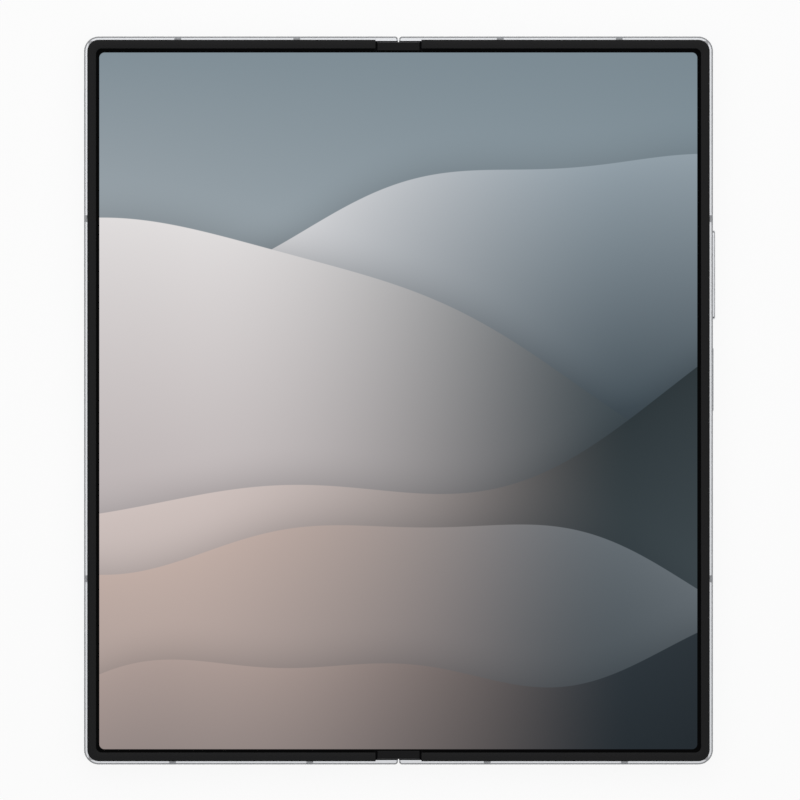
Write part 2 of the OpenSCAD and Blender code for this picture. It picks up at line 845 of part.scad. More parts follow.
module camera_island() {
  color(black) difference() {
    level(z_back - island_rise, z_glass) island_plan(0);
    for (i = [0:camera_count - 1]) at_camera(i)
      translate([0, 0, z_back - 2 * over]) cylinder(r = barrel_r + camera_bore_gap, h = 4 * over);
  }
}

module camera_rings() {
  z1 = z_back - island_rise;
  color(metal) for (i = [0:camera_count - 1]) at_camera(i) difference() {
    cylinder(r = ring_r, h = z1);
    translate([0, 0, -over]) cylinder(r = ring_r - ring_wall, h = over + lens_drop + lens_t);
    translate([0, 0, -over]) cylinder(r = barrel_r + camera_bore_gap, h = z1 + 2 * over);
  }
}

module camera_lenses() {
  color([0.08, 0.1, 0.14, 0.6]) for (i = [0:camera_count - 1]) at_camera(i)
    translate([0, 0, lens_drop]) cylinder(r = ring_r - ring_wall - lens_fit, h = lens_t);
}

module camera_module(i) {
  z0 = lens_drop + lens_t + camera_gap;
  b = camera_box / 2;
  color([0.15, 0.15, 0.17]) at_camera(i) {
    translate([0, 0, z0]) cylinder(r = barrel_r, h = z_glass + barrel_lap - z0);
    box(-b, b, -b, b, z_glass + camera_gap, z_pocket);
  }
}

module camera_module_1() {
  camera_module(0);
}

module camera_module_2() {
  camera_module(1);
}

module camera_module_3() {
  camera_module(2);
}

module flash_led() {
  color([0.95, 0.93, 0.8]) translate([flash_x, camera_at(0), z_back])
    cylinder(r = flash_r, h = glass_t + flash_rise);
}

module main_board() {
  x1 = camera_x - camera_box / 2 - board_r;
  color(green) level(board_z, board_z + board_t)
    rounded(inside_x, x1, main_board_y, pocket_y - board_end_gap, board_r);
}

module board_shields() {
  x0 = inside_x + shield_margin;
  x1 = flash_x - flash_r - shield_gap;
  ym = main_board_y + shield_l;
  color([0.7, 0.71, 0.72]) level(board_z - shield_t, board_z) {
    rounded(x0, x1, main_board_y + shield_margin, ym, board_r);
    rounded(x0, x1, ym + shield_gap, pocket_y - 2 * shield_margin, board_r);
  }
}

module right_battery() {
  color([0.2, 0.21, 0.23]) battery(battery_r_bottom, battery_r_top);
}

module charging_coil() {
  x = (inside_x + pocket_x1 - battery_side_gap) / 2;
  y = (battery_r_top + battery_r_bottom) / 2;
  z1 = z_pocket - battery_t;
  color([0.72, 0.42, 0.2]) level(z1 - coil_t, z1) translate([x, y]) difference() {
    circle(coil_r);
    circle(coil_inner_r);
  }
}

module usb_port() {
  y0 = -hy + edge_c;
  w = usb_w / 2 - usb_wall - tongue_gap;
  color([0.66, 0.67, 0.69]) {
    difference() {
      along_y(y0, y0 + usb_l) usb_outline(0);
      along_y(y0 - over, y0 + usb_l - usb_back_t) usb_outline(-usb_wall);
    }
    box(mid_x - w, mid_x + w, y0 + tongue_drop, y0 + usb_l - tongue_root,
      usb_z - tongue_t / 2, usb_z + tongue_t / 2);
  }
}

module usb_board() {
  y0 = -pocket_y + board_end_gap;
  x1 = pocket_x1 - battery_side_gap - motor_w - shield_gap;
  color(green) difference() {
    level(board_z, board_z + board_t) rounded(inside_x, x1, y0, y0 + usb_board_h, board_r);
    along_y(-hy, -hy + edge_c + usb_l + seat_gap) usb_outline(seat_gap);
  }
}

module vibration_motor() {
  x1 = pocket_x1 - battery_side_gap;
  y0 = -pocket_y + 2 * board_end_gap;
  color([0.6, 0.6, 0.62]) level(z_pocket - motor_t, z_pocket)
    rounded(x1 - motor_w, x1, y0, y0 + motor_w, small_r);
}

module right_magnets() {
  color([0.45, 0.45, 0.47]) magnets();
}

// Switch domes behind one key, on a strip against the wall of the pocket
module switches(y, l, offsets, x1) {
  h = key_h / 2;
  strip_y = l / 2 + key_flange + strip_reach;
  box(pocket_x1 - switch_strip_t, pocket_x1, y - strip_y, y + strip_y, z_key - h - strip_drop, z_key + h);
  for (d = offsets)
    box(pocket_x1 - 2 * fit, x1 - key_travel, y + d - switch_w / 2, y + d + switch_w / 2,
      z_key - h + dome_margin, z_key + h - dome_margin);
}

module key_switches() {
  d = volume_l / 2 - switch_w;
  color([0.75, 0.6, 0.3]) {
    switches(volume_y, volume_l, [-d, d], key_face_x - rock_gap - key_flange_t);
    switches(side_key_y, side_key_l, [0], key_face_x - key_flange_t);
  }
}

// Key with a flange behind the metal; gap is the room in front of the flange
module key(y, l, proud, gap) {
  h = key_h / 2;
  z0 = z_key - h;
  z1 = z_key + h;
  x1 = key_face_x - gap;
  along_x(x1 - 2 * fit, half_w + proud) rounded(y - l / 2, y + l / 2, z0, z1, h - key_round);
  box(x1 - key_flange_t, x1, y - l / 2 - key_flange, y + l / 2 + key_flange, z0, z1);
}

module volume_key() {
  color(metal) key(volume_y, volume_l, volume_proud, rock_gap);
}

module side_key() {
  color([0.5, 0.52, 0.55]) key(side_key_y, side_key_l, side_key_proud, 0);
}

// ---------- Left half ----------

module sound_holes(x, count) {
  for (i = [0:count - 1])
    bore_y(x + (i - (count - 1) / 2) * sound_pitch, z_key, pocket_y - over, hy + over, sound_r);
}

module tray_section(grow) {
  t = tray_t / 2 + grow;
  translate([-tray_y - tray_w / 2 - grow, tray_z - t]) square([tray_w + 2 * grow, 2 * t]);
}

module tray_face_section(grow) {
  h = tray_face_h / 2 + grow;
  w = tray_w / 2 + tray_end + grow;
  rounded(-tray_y - w, -tray_y + w, tray_z - h, tray_z + h, h - tray_round);
}

module left_blank() {
  difference() {
    half_shell();
    level(z_back - over, z_panel) glass_panel_plan(glass_fit);
    along_x(pocket_x1 - over, half_w + over) tray_section(tray_gap);
    along_x(half_w - tray_face_t - tray_gap, half_w + over) tray_face_section(tray_gap / 2);
    sound_holes(earpiece_x + sound_pitch * earpiece_count / 2, earpiece_count);
    mirror([0, 1, 0]) sound_holes(mid_x, sound_count);
    bore_y(mid_x - mic_dx, z_key, pocket_y - over, hy + over, mic_r);
  }
}

module glass_panel_plan(grow) {
  m = panel_margin - grow;
  r1 = corner_r - glass_margin - panel_margin / 2;
  half_plan(glass_x0 + m, glass_x1 - m, glass_y - m, fold_corner_r, r1);
}

module left_frame() {
  color(metal) mirrored() difference() {
    left_blank();
    band_boxes();
  }
}

module left_antenna_bands() {
  color([0.55, 0.57, 0.6]) mirrored() intersection() {
    left_blank();
    band_boxes();
  }
}

module left_bezel() {
  color(black) mirrored() bezel();
}

module display_left() {
  color([0.5, 0.55, 0.6]) mirrored() display_half();
}

module left_wing_plate() {
  color(steel) mirrored() wing_plate();
}

// The left brackets sit beside the right ones, on the other part of each module
module left_bracket_turn() {
  mirrored() mirror([0, 1, 0]) children();
}

module left_rail_bracket_top() {
  color(steel) left_bracket_turn() rail_bracket(-module_y);
}

module left_rail_bracket_bottom() {
  color(steel) left_bracket_turn() rail_bracket(module_y);
}

module left_sync_bracket() {
  color(steel) left_bracket_turn() sync_bracket(0);
}

module left_screws() {
  color([0.3, 0.3, 0.32]) mirrored() bracket_screws();
}

module cover_glass() {
  color([0.05, 0.05, 0.06]) mirrored() level(z_back, z_glass) glass_plan(0);
}

module cover_display() {
  color([0.2, 0.22, 0.26]) mirrored() difference() {
    level(z_glass, z_panel) glass_panel_plan(0);
    translate([mid_x, hy - cover_camera_drop, z_back])
      cylinder(r = cover_camera_r + camera_gap, h = 2 * over);
  }
}

module cover_camera() {
  b = cover_camera_box / 2;
  color([0.1, 0.1, 0.12]) mirrored() translate([mid_x, hy - cover_camera_drop, 0]) {
    translate([0, 0, z_glass]) cylinder(r = cover_camera_r, h = panel_t + over);
    box(-b, b, -b, b, z_panel + camera_gap, z_pocket);
  }
}

module left_battery() {
  color([0.2, 0.21, 0.23]) mirrored() battery(battery_l_bottom, battery_l_top);
}

module left_board() {
  color(green) mirrored() level(board_z, board_z + board_t)
    rounded(inside_x, tray_in_x - left_board_gap, -pocket_y + speaker_h + shield_gap,
      battery_l_bottom - board_r, board_r);
}

module speaker(x0, w, y0) {
  level(z_pocket - speaker_t, z_pocket) rounded(x0, x0 + w, y0, y0 + speaker_h, small_r);
}

module top_speaker() {
  color([0.16, 0.16, 0.18]) mirrored()
    speaker(earpiece_x, earpiece_w, pocket_y - speaker_gap - speaker_h);
}

module bottom_speaker() {
  color([0.16, 0.16, 0.18]) mirrored() speaker(mid_x - speaker_w / 2, speaker_w, -pocket_y + speaker_gap);
}

module card_reader() {
  w = reader_hw;
  x0 = tray_in_x - tray_gap - reader_wall;
  h = tray_t / 2 + tray_gap + reader_wall;
  color([0.68, 0.69, 0.7]) mirrored() difference() {
    box(x0, pocket_x1 - 2 * fit, -tray_y - w, -tray_y + w, tray_z - h, tray_z + h);
    along_x(x0 + reader_wall, pocket_x1 + over) tray_section(tray_gap);
  }
}

module card_tray() {
  w = tray_w / 2 - tray_wall;
  color(metal) mirrored() {
    difference() {
      along_x(half_w - tray_face_t, half_w) tray_face_section(0);
      translate([half_w - tray_face_t + pin_floor, -tray_y + tray_w / 2 - pin_inset, tray_z])
        rotate([0, 90, 0]) cylinder(r = pin_r, h = tray_face_t);
    }
    difference() {
      along_x(tray_in_x, half_w - tray_face_t) tray_section(0);
      box(tray_in_x + tray_wall, pocket_x1 - tray_wall, -tray_y - w, -tray_y + w,
        tray_z - tray_floor, tray_z + over);
    }
  }
}

module left_magnets() {
  color([0.45, 0.45, 0.47]) mirrored() magnets();
}

// ---------- Hinge ----------

module hinge_cover() {
  wall_z1 = base_z1 + cover_rise;
  rib_y0 = module_l / 2 + rib_gap;
  rib_y1 = module_y - rib_y0;
  rib_z0 = z_axis - spine_in_r - spine_wall / 2;
  color([0.3, 0.31, 0.34]) {
    difference() {
      along_y(-spine_y, spine_y) spine_section(spine_r, wall_z1);
      along_y(-spine_y - over, spine_y + over) spine_section(spine_in_r, wall_z1 + over);
      for (y = [-module_y, 0, module_y])
        box(-half_w, half_w, y - module_l / 2 - seat_gap, y + module_l / 2 + seat_gap,
          bar_z0 - seat_gap, wall_z1 + over);
    }
    for (s = [0, 1]) mirror([0, s, 0])
      box(-centre_w / 2, centre_w / 2, rib_y0, rib_y1, rib_z0, centre_z0);
  }
}

module at_gear(i) {
  translate([i * 2 * gear_pitch_r, 0, gear_z]) children();
}

// Base of a rail module: each rail runs round a core, on its own side of the middle wall
module rail_base(y) {
  l = module_l / 2;
  color([0.5, 0.51, 0.54]) translate([0, y, 0]) difference() {
    along_y(-l, l) base_section();
    rail_channel();
    mirror([1, 0, 0]) mirror([0, 1, 0]) rail_channel();
  }
}

module rail_channel() {
  along_y(rail_y0 - rail_gap, rail_y1 + rail_gap) {
    translate([axis_x, z_axis])
      arc_band(core_r, 2 * spine_r, rail_a0 - rail_arc - channel_a_gap, channel_a1);
    translate([-half_w, base_z1]) square([2 * half_w, half_t]);
  }
}

// Section of a hinge base, with the strip that carries the centre plate
module base_section() {
  spine_section(spine_in_r - base_fit, base_z1);
  translate([-centre_w / 2, base_z1 - over]) square([centre_w, centre_z0 - base_z1 + over]);
}

// Base of the sync module: a middle block round the idlers, end walls for the drive
// gears' far journals, and bars between them that stay inside the path of the rings
module hinge_base_middle() {
  l = module_l / 2;
  wall0 = idler_w / 2 + gear_end_gap;
  wall1 = rail_y0 - rail_gap;
  wall2 = rail_y1 + rail_gap;
  room = gear_out_r + gear_room;
  bar_x = gear_x - room - bar_gap;
  end_lap = 0.3;
  bore_r = journal_r + journal_gap;
  color([0.5, 0.51, 0.54]) difference() {
    union() {
      along_y(-wall1, wall1) base_section();
      for (s = [0, 1]) mirror([s, 0, 0]) mirror([0, s, 0]) {
        along_y(wall2, l) base_section();
        box(seat_gap, bar_x, wall1 - end_lap, wall2 + end_lap, gear_z + seat_gap, base_z1 - seat_gap);
      }
    }
    box(-half_w, half_w, -wall0, wall0, gear_z - room, z_front);
    for (s = [0, 1]) mirror([s, 0, 0]) mirror([0, s, 0]) {
      bore_y(gear_x, gear_z, wall0 - over / 2, wall1 + over / 2, room);
      bore_y(gear_x, gear_z, wall2 - over / 2, l - blind_wall, bore_r);
      for (i = [-1.5, -0.5, 0.5])
        bore_y(i * 2 * gear_pitch_r, gear_z, wall0 - over / 2, wall1 + over / 4, bore_r);
    }
  }
}

module hinge_base_top() {
  rail_base(module_y);
}

module hinge_base_bottom() {
  rail_base(-module_y);
}

module hinge_cap(s) {
  z1 = z_bezel - cap_drop;
  shelf_z = base_z1 + cap_shelf;
  color(black) mirror([0, s < 0 ? 1 : 0, 0]) difference() {
    union() {
      along_y(cap_y0, spine_y - fit) spine_section(spine_in_r - base_fit, shelf_z + cap_lap);
      along_y(cap_y0, spine_y) difference() {
        spine_section(spine_r - cap_inset, z1);
        translate([-half_w, -over]) square([2 * half_w, shelf_z + over]);
      }
    }
    translate([0, spine_y, z1]) rotate([45, 0, 0])
      cube([half_w, cap_bevel, cap_bevel], center = true);
  }
}

module hinge_cap_top() {
  hinge_cap(1);
}

module hinge_cap_bottom() {
  hinge_cap(-1);
}

module centre_plate() {
  color(steel) box(-centre_w, centre_w, -wing_y, wing_y, centre_z0, centre_z1);
}

module display_fold() {
  color([0.45, 0.5, 0.55]) box(-bend_w + hair, bend_w - hair, -bend_y, bend_y, z_deck, z_front);
}

// Gear with a journal at each end, its first tooth at the given angle
module gear(y0, y1, phase) {
  color([0.8, 0.7, 0.45]) {
    along_y(y0, y1) gear_section(gear_teeth, phase);
    along_y(y0 - journal_l, y1 + journal_l) circle(journal_r);
  }
}

// A drive gear meshes with its ring at one end and with an idler at the other
module right_drive_gear() {
  at_gear(1.5) gear(-idler_w / 2, rail_y1 - gear_end_gap, 180 / gear_teeth);
}

module left_drive_gear() {
  at_gear(-1.5) gear(-rail_y1 + gear_end_gap, idler_w / 2, 0);
}

module right_idler_gear() {
  at_gear(0.5) gear(-idler_w / 2, idler_w / 2, 0);
}

module left_idler_gear() {
  at_gear(-0.5) gear(-idler_w / 2, idler_w / 2, 180 / gear_teeth);
}

right_frame();
right_antenna_bands();
right_bezel();
display_right();
right_wing_plate();
right_rail_bracket_top();
right_rail_bracket_bottom();
right_sync_bracket();
right_screws();
back_glass();
camera_island();
camera_rings();
camera_lenses();
camera_module_1();
camera_module_2();
camera_module_3();
flash_led();
main_board();
board_shields();
right_battery();
charging_coil();
usb_port();
usb_board();
vibration_motor();
right_magnets();
key_switches();
volume_key();
side_key();
left_frame();
left_antenna_bands();
left_bezel();
display_left();
left_wing_plate();
left_rail_bracket_top();
left_rail_bracket_bottom();
left_sync_bracket();
left_screws();
cover_glass();
cover_display();
cover_camera();
left_battery();
left_board();
top_speaker();
bottom_speaker();
card_reader();
card_tray();
left_magnets();
hinge_cover();
hinge_base_top();
hinge_base_middle();
hinge_base_bottom();
hinge_cap_top();
hinge_cap_bottom();
centre_plate();
display_fold();
right_drive_gear();
left_drive_gear();
right_idler_gear();
left_idler_gear();
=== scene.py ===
# %% [markdown]
# # A foldable smartphone, dressed in Blender
# The phone lies open on its back. Its measured parts come in as a fixed frame: metal
# halves, hinge, glass, keys and everything inside. This lesson gives each of them a
# finish, and models again the pieces whose small rounded edges catch the light: the
# display, its raised bezel, the keys, the cameras and the socket. All sizes are in
# metres, and MM turns a number of millimetres into metres. IN_MM does the opposite for
# the three axes of a texture.

import math

import bmesh
import bpy
from mathutils import Matrix, Vector


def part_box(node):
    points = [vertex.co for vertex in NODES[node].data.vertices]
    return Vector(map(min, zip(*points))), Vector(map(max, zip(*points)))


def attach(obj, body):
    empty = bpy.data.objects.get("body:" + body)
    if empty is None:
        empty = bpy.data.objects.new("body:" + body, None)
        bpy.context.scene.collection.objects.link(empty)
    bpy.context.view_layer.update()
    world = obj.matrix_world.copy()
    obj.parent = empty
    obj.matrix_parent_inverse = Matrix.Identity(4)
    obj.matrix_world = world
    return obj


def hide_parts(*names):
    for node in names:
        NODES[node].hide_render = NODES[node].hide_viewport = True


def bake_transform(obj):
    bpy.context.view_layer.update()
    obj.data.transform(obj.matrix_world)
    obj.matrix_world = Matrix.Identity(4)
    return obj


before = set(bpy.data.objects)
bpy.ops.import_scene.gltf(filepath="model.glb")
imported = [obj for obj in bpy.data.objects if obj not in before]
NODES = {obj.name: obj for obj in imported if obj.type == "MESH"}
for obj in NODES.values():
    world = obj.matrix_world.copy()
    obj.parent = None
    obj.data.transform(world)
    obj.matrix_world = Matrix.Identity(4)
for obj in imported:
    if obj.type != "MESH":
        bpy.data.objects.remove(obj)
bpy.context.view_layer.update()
MM = 0.001
IN_MM = (1000, 1000, 1000)

# %% [markdown]
# ## Sizes taken from the frame
# A new piece has to sit exactly where the real one would, so its sizes aren't typed
# in again. They are read from the boxes of the nodes that it stands on or replaces.

# %% Sizes
display_low, display_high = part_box("display_right")
_, fold_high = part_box("display_fold")
bezel_low, bezel_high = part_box("right_bezel")
DECK_Z, FRONT_Z, BEZEL_Z = display_low.z, display_high.z, bezel_high.z
DISPLAY_X, DISPLAY_Y = display_high.x, display_high.y
FOLD_Y = fold_high.y
BEND_X = display_low.x
RIM_X, RIM_Y = bezel_high.x, bezel_high.y
BEZEL_END_X = bezel_low.x
BEZEL_W = 1.88 * MM
WINDOW_X, WINDOW_Y = RIM_X - BEZEL_W, RIM_Y - BEZEL_W
print("display", round(DISPLAY_X / MM, 2), "x", round(DISPLAY_Y / MM, 2), "mm from the middle")

# %% [markdown]
# ## Sums on sockets
# A material is a graph of nodes, and a sum such as `grain * 0.2 + 0.4` needs two Math
# nodes and their links. Wiring each by hand hides the idea, so this small class holds
# one output socket and turns Python's operators into Math nodes.

# %% A socket that can be used in sums
class Value:
    def __init__(self, tree, socket):
        self.tree, self.socket = tree, socket

    def math(self, operation, other=None, turn=False):
        """One Math node, whose two terms change places on request."""
        node = self.tree.nodes.new("ShaderNodeMath")
        node.operation = operation
        terms = [other, self] if turn else [self, other]
        for slot, term in enumerate(terms):
            if isinstance(term, Value):
                self.tree.links.new(term.socket, node.inputs[slot])
            elif term is not None:
                node.inputs[slot].default_value = term
        return Value(self.tree, node.outputs[0])

    def __add__(self, other): return self.math("ADD", other)
    def __sub__(self, other): return self.math("SUBTRACT", other)
    def __rsub__(self, other): return self.math("SUBTRACT", other, turn=True)
    def __mul__(self, other): return self.math("MULTIPLY", other)
    def __truediv__(self, other): return self.math("DIVIDE", other)
    __radd__, __rmul__ = __add__, __mul__

    def above(self, edge, soft):
        """0 under the edge and 1 over it, with a soft step."""
        node = self.tree.nodes.new("ShaderNodeMapRange")
        node.interpolation_type = "SMOOTHSTEP"
        self.tree.links.new(self.socket, node.inputs[0])
        node.inputs[1].default_value = edge - soft
        node.inputs[2].default_value = edge + soft
        return Value(self.tree, node.outputs[0])


print("operators:", [n for n in vars(Value) if n.startswith("__r") or n in ("above", "math")])

# %% [markdown]
# ## One finish, one class
# Nearly every surface here is one Principled shader whose colour, roughness and bump
# vary a little. The class below makes that shader with its constant values set straight
# on its sockets, and gives short names to the few nodes that the finishes share.

# %% A finish
class Finish:
    def __init__(self, name, **constants):
        self.material = bpy.data.materials.new(name)
        self.material.use_nodes = True
        self.tree = self.material.node_tree
        self.tree.nodes.clear()
        self.shader = self.tree.nodes.new("ShaderNodeBsdfPrincipled")
        surface = self.tree.nodes.new("ShaderNodeOutputMaterial")
        self.tree.links.new(self.shader.outputs[0], surface.inputs["Surface"])
        for word, value in constants.items():
            self.set(word.replace("_", " "), value)

    def set(self, socket, value):
        """Links a Value to a socket of the shader, or sets a constant there."""
        names = {s.name.lower(): s for s in self.shader.inputs}
        target = names[socket.lower()]
        if isinstance(value, Value):
            self.tree.links.new(value.socket, target)
        elif target.type == "RGBA":
            target.default_value = (*value, 1) if len(value) == 3 else value
        else:
            target.default_value = value

    def node(self, kind, settings=(), out=0, **sockets):
        """Any other node: its settings first, then its sockets by name or number."""
        node = self.tree.nodes.new("ShaderNode" + kind)
        for word, value in dict(settings).items():
            if word == "stops":
                ramp = node.color_ramp
                while len(ramp.elements) < len(value):
                    ramp.elements.new(0.5)
                for element, (place, colour) in zip(ramp.elements, value):
                    element.position, element.color = place, (*colour, 1)
            else:
                setattr(node, word, value)
        for word, value in sockets.items():
            target = node.inputs[int(word[1:]) if word[1:].isdigit() else word]
            if isinstance(value, Value):
                self.tree.links.new(value.socket, target)
            else:
                target.default_value = value
        return Value(self.tree, node.outputs[out])

    def place(self, scale=(1, 1, 1), centre=(0, 0, 0), uv=False):
        """Object coordinates in metres, or the piece's own UV map, moved and scaled."""
        if uv:
            where = self.node("UVMap", {"uv_map": uv})
        else:
            where = self.node("TexCoord", out=3)
        if scale == (1, 1, 1) and centre == (0, 0, 0):
            return where
        shift = tuple(-c * s for c, s in zip(centre, scale))
        return self.node("Mapping", Vector=where, Location=shift, Scale=scale)

    def axes(self, where):
        """The three numbers of a place."""
        split = self.tree.nodes.new("ShaderNodeSeparateXYZ")
        self.tree.links.new(where.socket, split.inputs[0])
        return [Value(self.tree, s) for s in split.outputs]

    def noise(self, scale, detail=3, rough=0.55, stretch=(1, 1, 1), uv=False):
        """Grey clouds from 0 to 1, drawn out along one axis if stretched."""
        return self.node("TexNoise", Vector=self.place(stretch, uv=uv), Scale=scale,
                         Detail=detail, Roughness=rough)

    def ramp(self, factor, *stops):
        """A colour ramp of (place, colour) stops."""
        return self.node("ValToRGB", {"stops": stops}, s0=factor)

    def mix(self, factor, a, b):
        """Two colours, mixed by a factor."""
        node = self.tree.nodes.new("ShaderNodeMix")
        node.data_type = "RGBA"
        for slot, value in ((0, factor), (6, a), (7, b)):
            if isinstance(value, Value):
                self.tree.links.new(value.socket, node.inputs[slot])
            elif slot == 0:
                node.inputs[0].default_value = value
            else:
                node.inputs[slot].default_value = (*value, 1)
        return Value(self.tree, node.outputs[2])

    def bump(self, height, depth, strength=1.0):
        """A height from 0 to 1, pressed in as deep as depth in metres."""
        self.set("Normal", self.node("Bump", Strength=strength, Distance=depth, Height=height))


print("shader sockets:", len(Finish("try_out").shader.inputs))
bpy.data.materials.remove(bpy.data.materials["try_out"])


# %% [markdown]
# ## Metals
# The frame of the phone is blasted aluminium: matt from afar, with a grain finer than
# a tenth of a millimetre up close. Stamped steel parts show the lines of rolling
# instead, so the same recipe takes a stretch along one axis. Both get clouds of slightly
# different roughness, as handled metal has.

# %% Metal finishes
def metal(name, colour, rough, grain=9000, depth=0.004, stretch=(1, 1, 1), cloud=60,
          tone=0.06):
    """A metal with a fine grain, a number of waves per metre, over broad clouds."""
    finish = Finish(name, Metallic=1.0, IOR=1.5)
    fine = finish.noise(grain, detail=4, stretch=stretch)
    broad = finish.noise(cloud, detail=3)
    dark = tuple(c * (1 - tone) for c in colour)
    light = tuple(min(1, c * (1 + tone)) for c in colour)
    finish.colour = finish.mix(fine * 0.6 + broad * 0.4, dark, light)
    finish.set("Base Color", finish.colour)
    finish.set("Roughness", fine * 0.08 + broad * 0.06 + (rough - 0.07))
    finish.bump(fine, depth * MM, 0.5)
    return finish


LINES_Y, LINES_X = (1, 0.03, 1), (0.03, 1, 1)
frame_metal = metal("frame_metal", (0.64, 0.65, 0.67), 0.29, depth=0.002)
key_metal = metal("key_metal", (0.70, 0.71, 0.73), 0.28, grain=7000, stretch=(1, 0.05, 1))
sensor_metal = metal("sensor_metal", (0.33, 0.34, 0.36), 0.30, grain=7000, stretch=(1, 0.05, 1))
black_steel = metal("black_steel", (0.022, 0.022, 0.024), 0.36, stretch=LINES_Y, grain=3500)
rolled_steel = metal("rolled_steel", (0.56, 0.55, 0.54), 0.30, stretch=LINES_Y, grain=3500)
milled_steel = metal("milled_steel", (0.50, 0.50, 0.51), 0.26, stretch=LINES_X, grain=4000)
gear_steel = metal("gear_steel", (0.66, 0.60, 0.47), 0.24, grain=12000, stretch=LINES_Y)
screw_steel = metal("screw_steel", (0.16, 0.16, 0.17), 0.32, grain=12000)
nickel = metal("nickel", (0.52, 0.50, 0.47), 0.22, grain=6000, cloud=300)
switch_brass = metal("switch_brass", (0.78, 0.62, 0.34), 0.25, grain=8000)
print(len(bpy.data.materials), "materials so far")

# %% [markdown]
# ## Bright outside, dark inside
# The frame and the hinge cover are anodised on their outside only. The trough that the
# hinge lies in gets painted shade, a near black that makes the slots at the ends of the
# fold look dark, and the rooms inside the frame are left as they were milled. The distance from
# the nearer hinge axis tells the trough, and a rounded rectangle mask tells the rooms.

# %% Masks for the frame and the spine
AXIS_X, AXIS_Z = 1.45, 6.3
TROUGH_R, TROUGH_Y = 3.65, 75.83
SKIN_R, SKIN_TOP = 3.21, -0.54
ROOM_X, ROOM_HALF_X, ROOM_HALF_Y, ROOM_CORNER = 33.2, 32.15, 75.84, 0.5
# The near black of the painted shade in the hinge trough and on the spine.
PAINTED_SHADE_BLACK = (0.008, 0.008, 0.009)


def inside(x, y, half_x, half_y, corner, soft):
    """1 inside a rounded rectangle about the origin and 0 outside it."""
    far_x = (x.math("ABSOLUTE") - (half_x - corner)).math("MAXIMUM", 0)
    far_y = (y.math("ABSOLUTE") - (half_y - corner)).math("MAXIMUM", 0)
    return 1 - (far_x * far_x + far_y * far_y).math("SQRT").above(corner, soft)


def hinge_distance(finish):
    """Distance from the nearer hinge axis, and the places along X, Y and Z, all in mm."""
    x, y, z = finish.axes(finish.place(IN_MM, (0, 0, AXIS_Z * MM)))
    x = x.math("ABSOLUTE")
    aside = (x - AXIS_X).math("MAXIMUM", 0)
    return (aside * aside + z * z).math("SQRT"), x, y, z


reach, half_x, along_y, _ = hinge_distance(frame_metal)
between_ends = 1 - along_y.math("ABSOLUTE").above(TROUGH_Y, 0.01)
# Painted shade: the trough is drawn near black so that the slots at the fold's ends look dark.
trough_painted_shade = (1 - reach.above(TROUGH_R, 0.03)) * between_ends
rooms = inside(half_x - ROOM_X, along_y, ROOM_HALF_X, ROOM_HALF_Y, ROOM_CORNER, 0.03)
milled = frame_metal.mix(rooms, frame_metal.colour, (0.30, 0.30, 0.31))
frame_metal.set("Base Color", frame_metal.mix(trough_painted_shade, milled, PAINTED_SHADE_BLACK))

spine = metal("spine_metal", (0.45, 0.46, 0.49), 0.30, stretch=LINES_Y, grain=5000)
from_hinge, _, _, up = hinge_distance(spine)
# Painted shade: the spine is drawn near black inside its bright outer skin and along its top
# edges.
skin = from_hinge.above(SKIN_R, 0.01) * (1 - up.above(SKIN_TOP, 0.01))
spine.set("Base Color", spine.mix(skin, PAINTED_SHADE_BLACK, spine.colour))
print("the spine is bright from", SKIN_R, "mm outwards")

# %% [markdown]
# ## Turned metal
# A camera ring is turned on a lathe, so its marks are circles about its own axis. The
# distance from the nearest ring's middle makes them: the three rings stand in a row, so
# Y is folded back into one pitch before the distance is taken.

# %% Turned rings
ring_low, ring_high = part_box("camera_rings")
RING_R = (ring_high.x - ring_low.x) / 2
CAMERA_X = (ring_low.x + ring_high.x) / 2
CAMERA_YS = [ring_low.y + RING_R, (ring_low.y + ring_high.y) / 2, ring_high.y - RING_R]
PITCH = CAMERA_YS[1] - CAMERA_YS[0]


def ring_distance(finish):
    """Distance in millimetres from the axis of the nearest camera."""
    x, y, _ = finish.axes(finish.place(centre=(CAMERA_X, CAMERA_YS[1], 0)))
    folded = (y / PITCH + 0.5).math("FRACT") * PITCH - PITCH / 2
    return (x * x + folded * folded).math("SQRT") / MM


RADIANS_PER_MM = 75
ring_finish = Finish("ring_metal", Metallic=1.0, IOR=1.5)
from_axis = ring_distance(ring_finish)
grooves = (from_axis * RADIANS_PER_MM).math("SINE") * 0.5 + 0.5
ring_finish.set("Base Color", ring_finish.mix(grooves, (0.58, 0.59, 0.61), (0.66, 0.67, 0.69)))
ring_finish.set("Roughness", grooves * 0.1 + 0.2)
ring_finish.bump(grooves, 0.003 * MM, 0.4)
print("cameras at x", round(CAMERA_X / MM, 1), "y", [round(y / MM, 1) for y in CAMERA_YS])

# %% [markdown]
# ## Plastics
# Moulded plastic has a fine spark-eroded texture and almost no colour variation. The
# black parts face straight up under a white studio, where even 4 % of mirror light would
# turn them grey, so their specular level is low, as on anti-glare coatings. The cap at
# each end of the fold gets a painted highlight: its lip is drawn lighter where its bevel would
# catch the light.

# %% Plastic finishes
def plastic(name, colour, rough, specular=0.5, grain=14000, depth=0.004, tone=0.12,
            cloud=90):
    """A moulded plastic, with a fine texture over broad clouds."""
    finish = Finish(name, IOR=1.46, Specular_IOR_Level=specular)
    fine = finish.noise(grain, detail=2)
    broad = finish.noise(cloud, detail=3)
    dark = tuple(c * (1 - tone) for c in colour)
    light = tuple(c * (1 + tone) for c in colour)
    finish.colour = finish.mix(fine * 0.5 + broad * 0.5, dark, light)
    finish.set("Base Color", finish.colour)
    finish.set("Roughness", fine * 0.12 + broad * 0.06 + (rough - 0.09))
    finish.bump(fine, depth * MM, 0.5)
    return finish


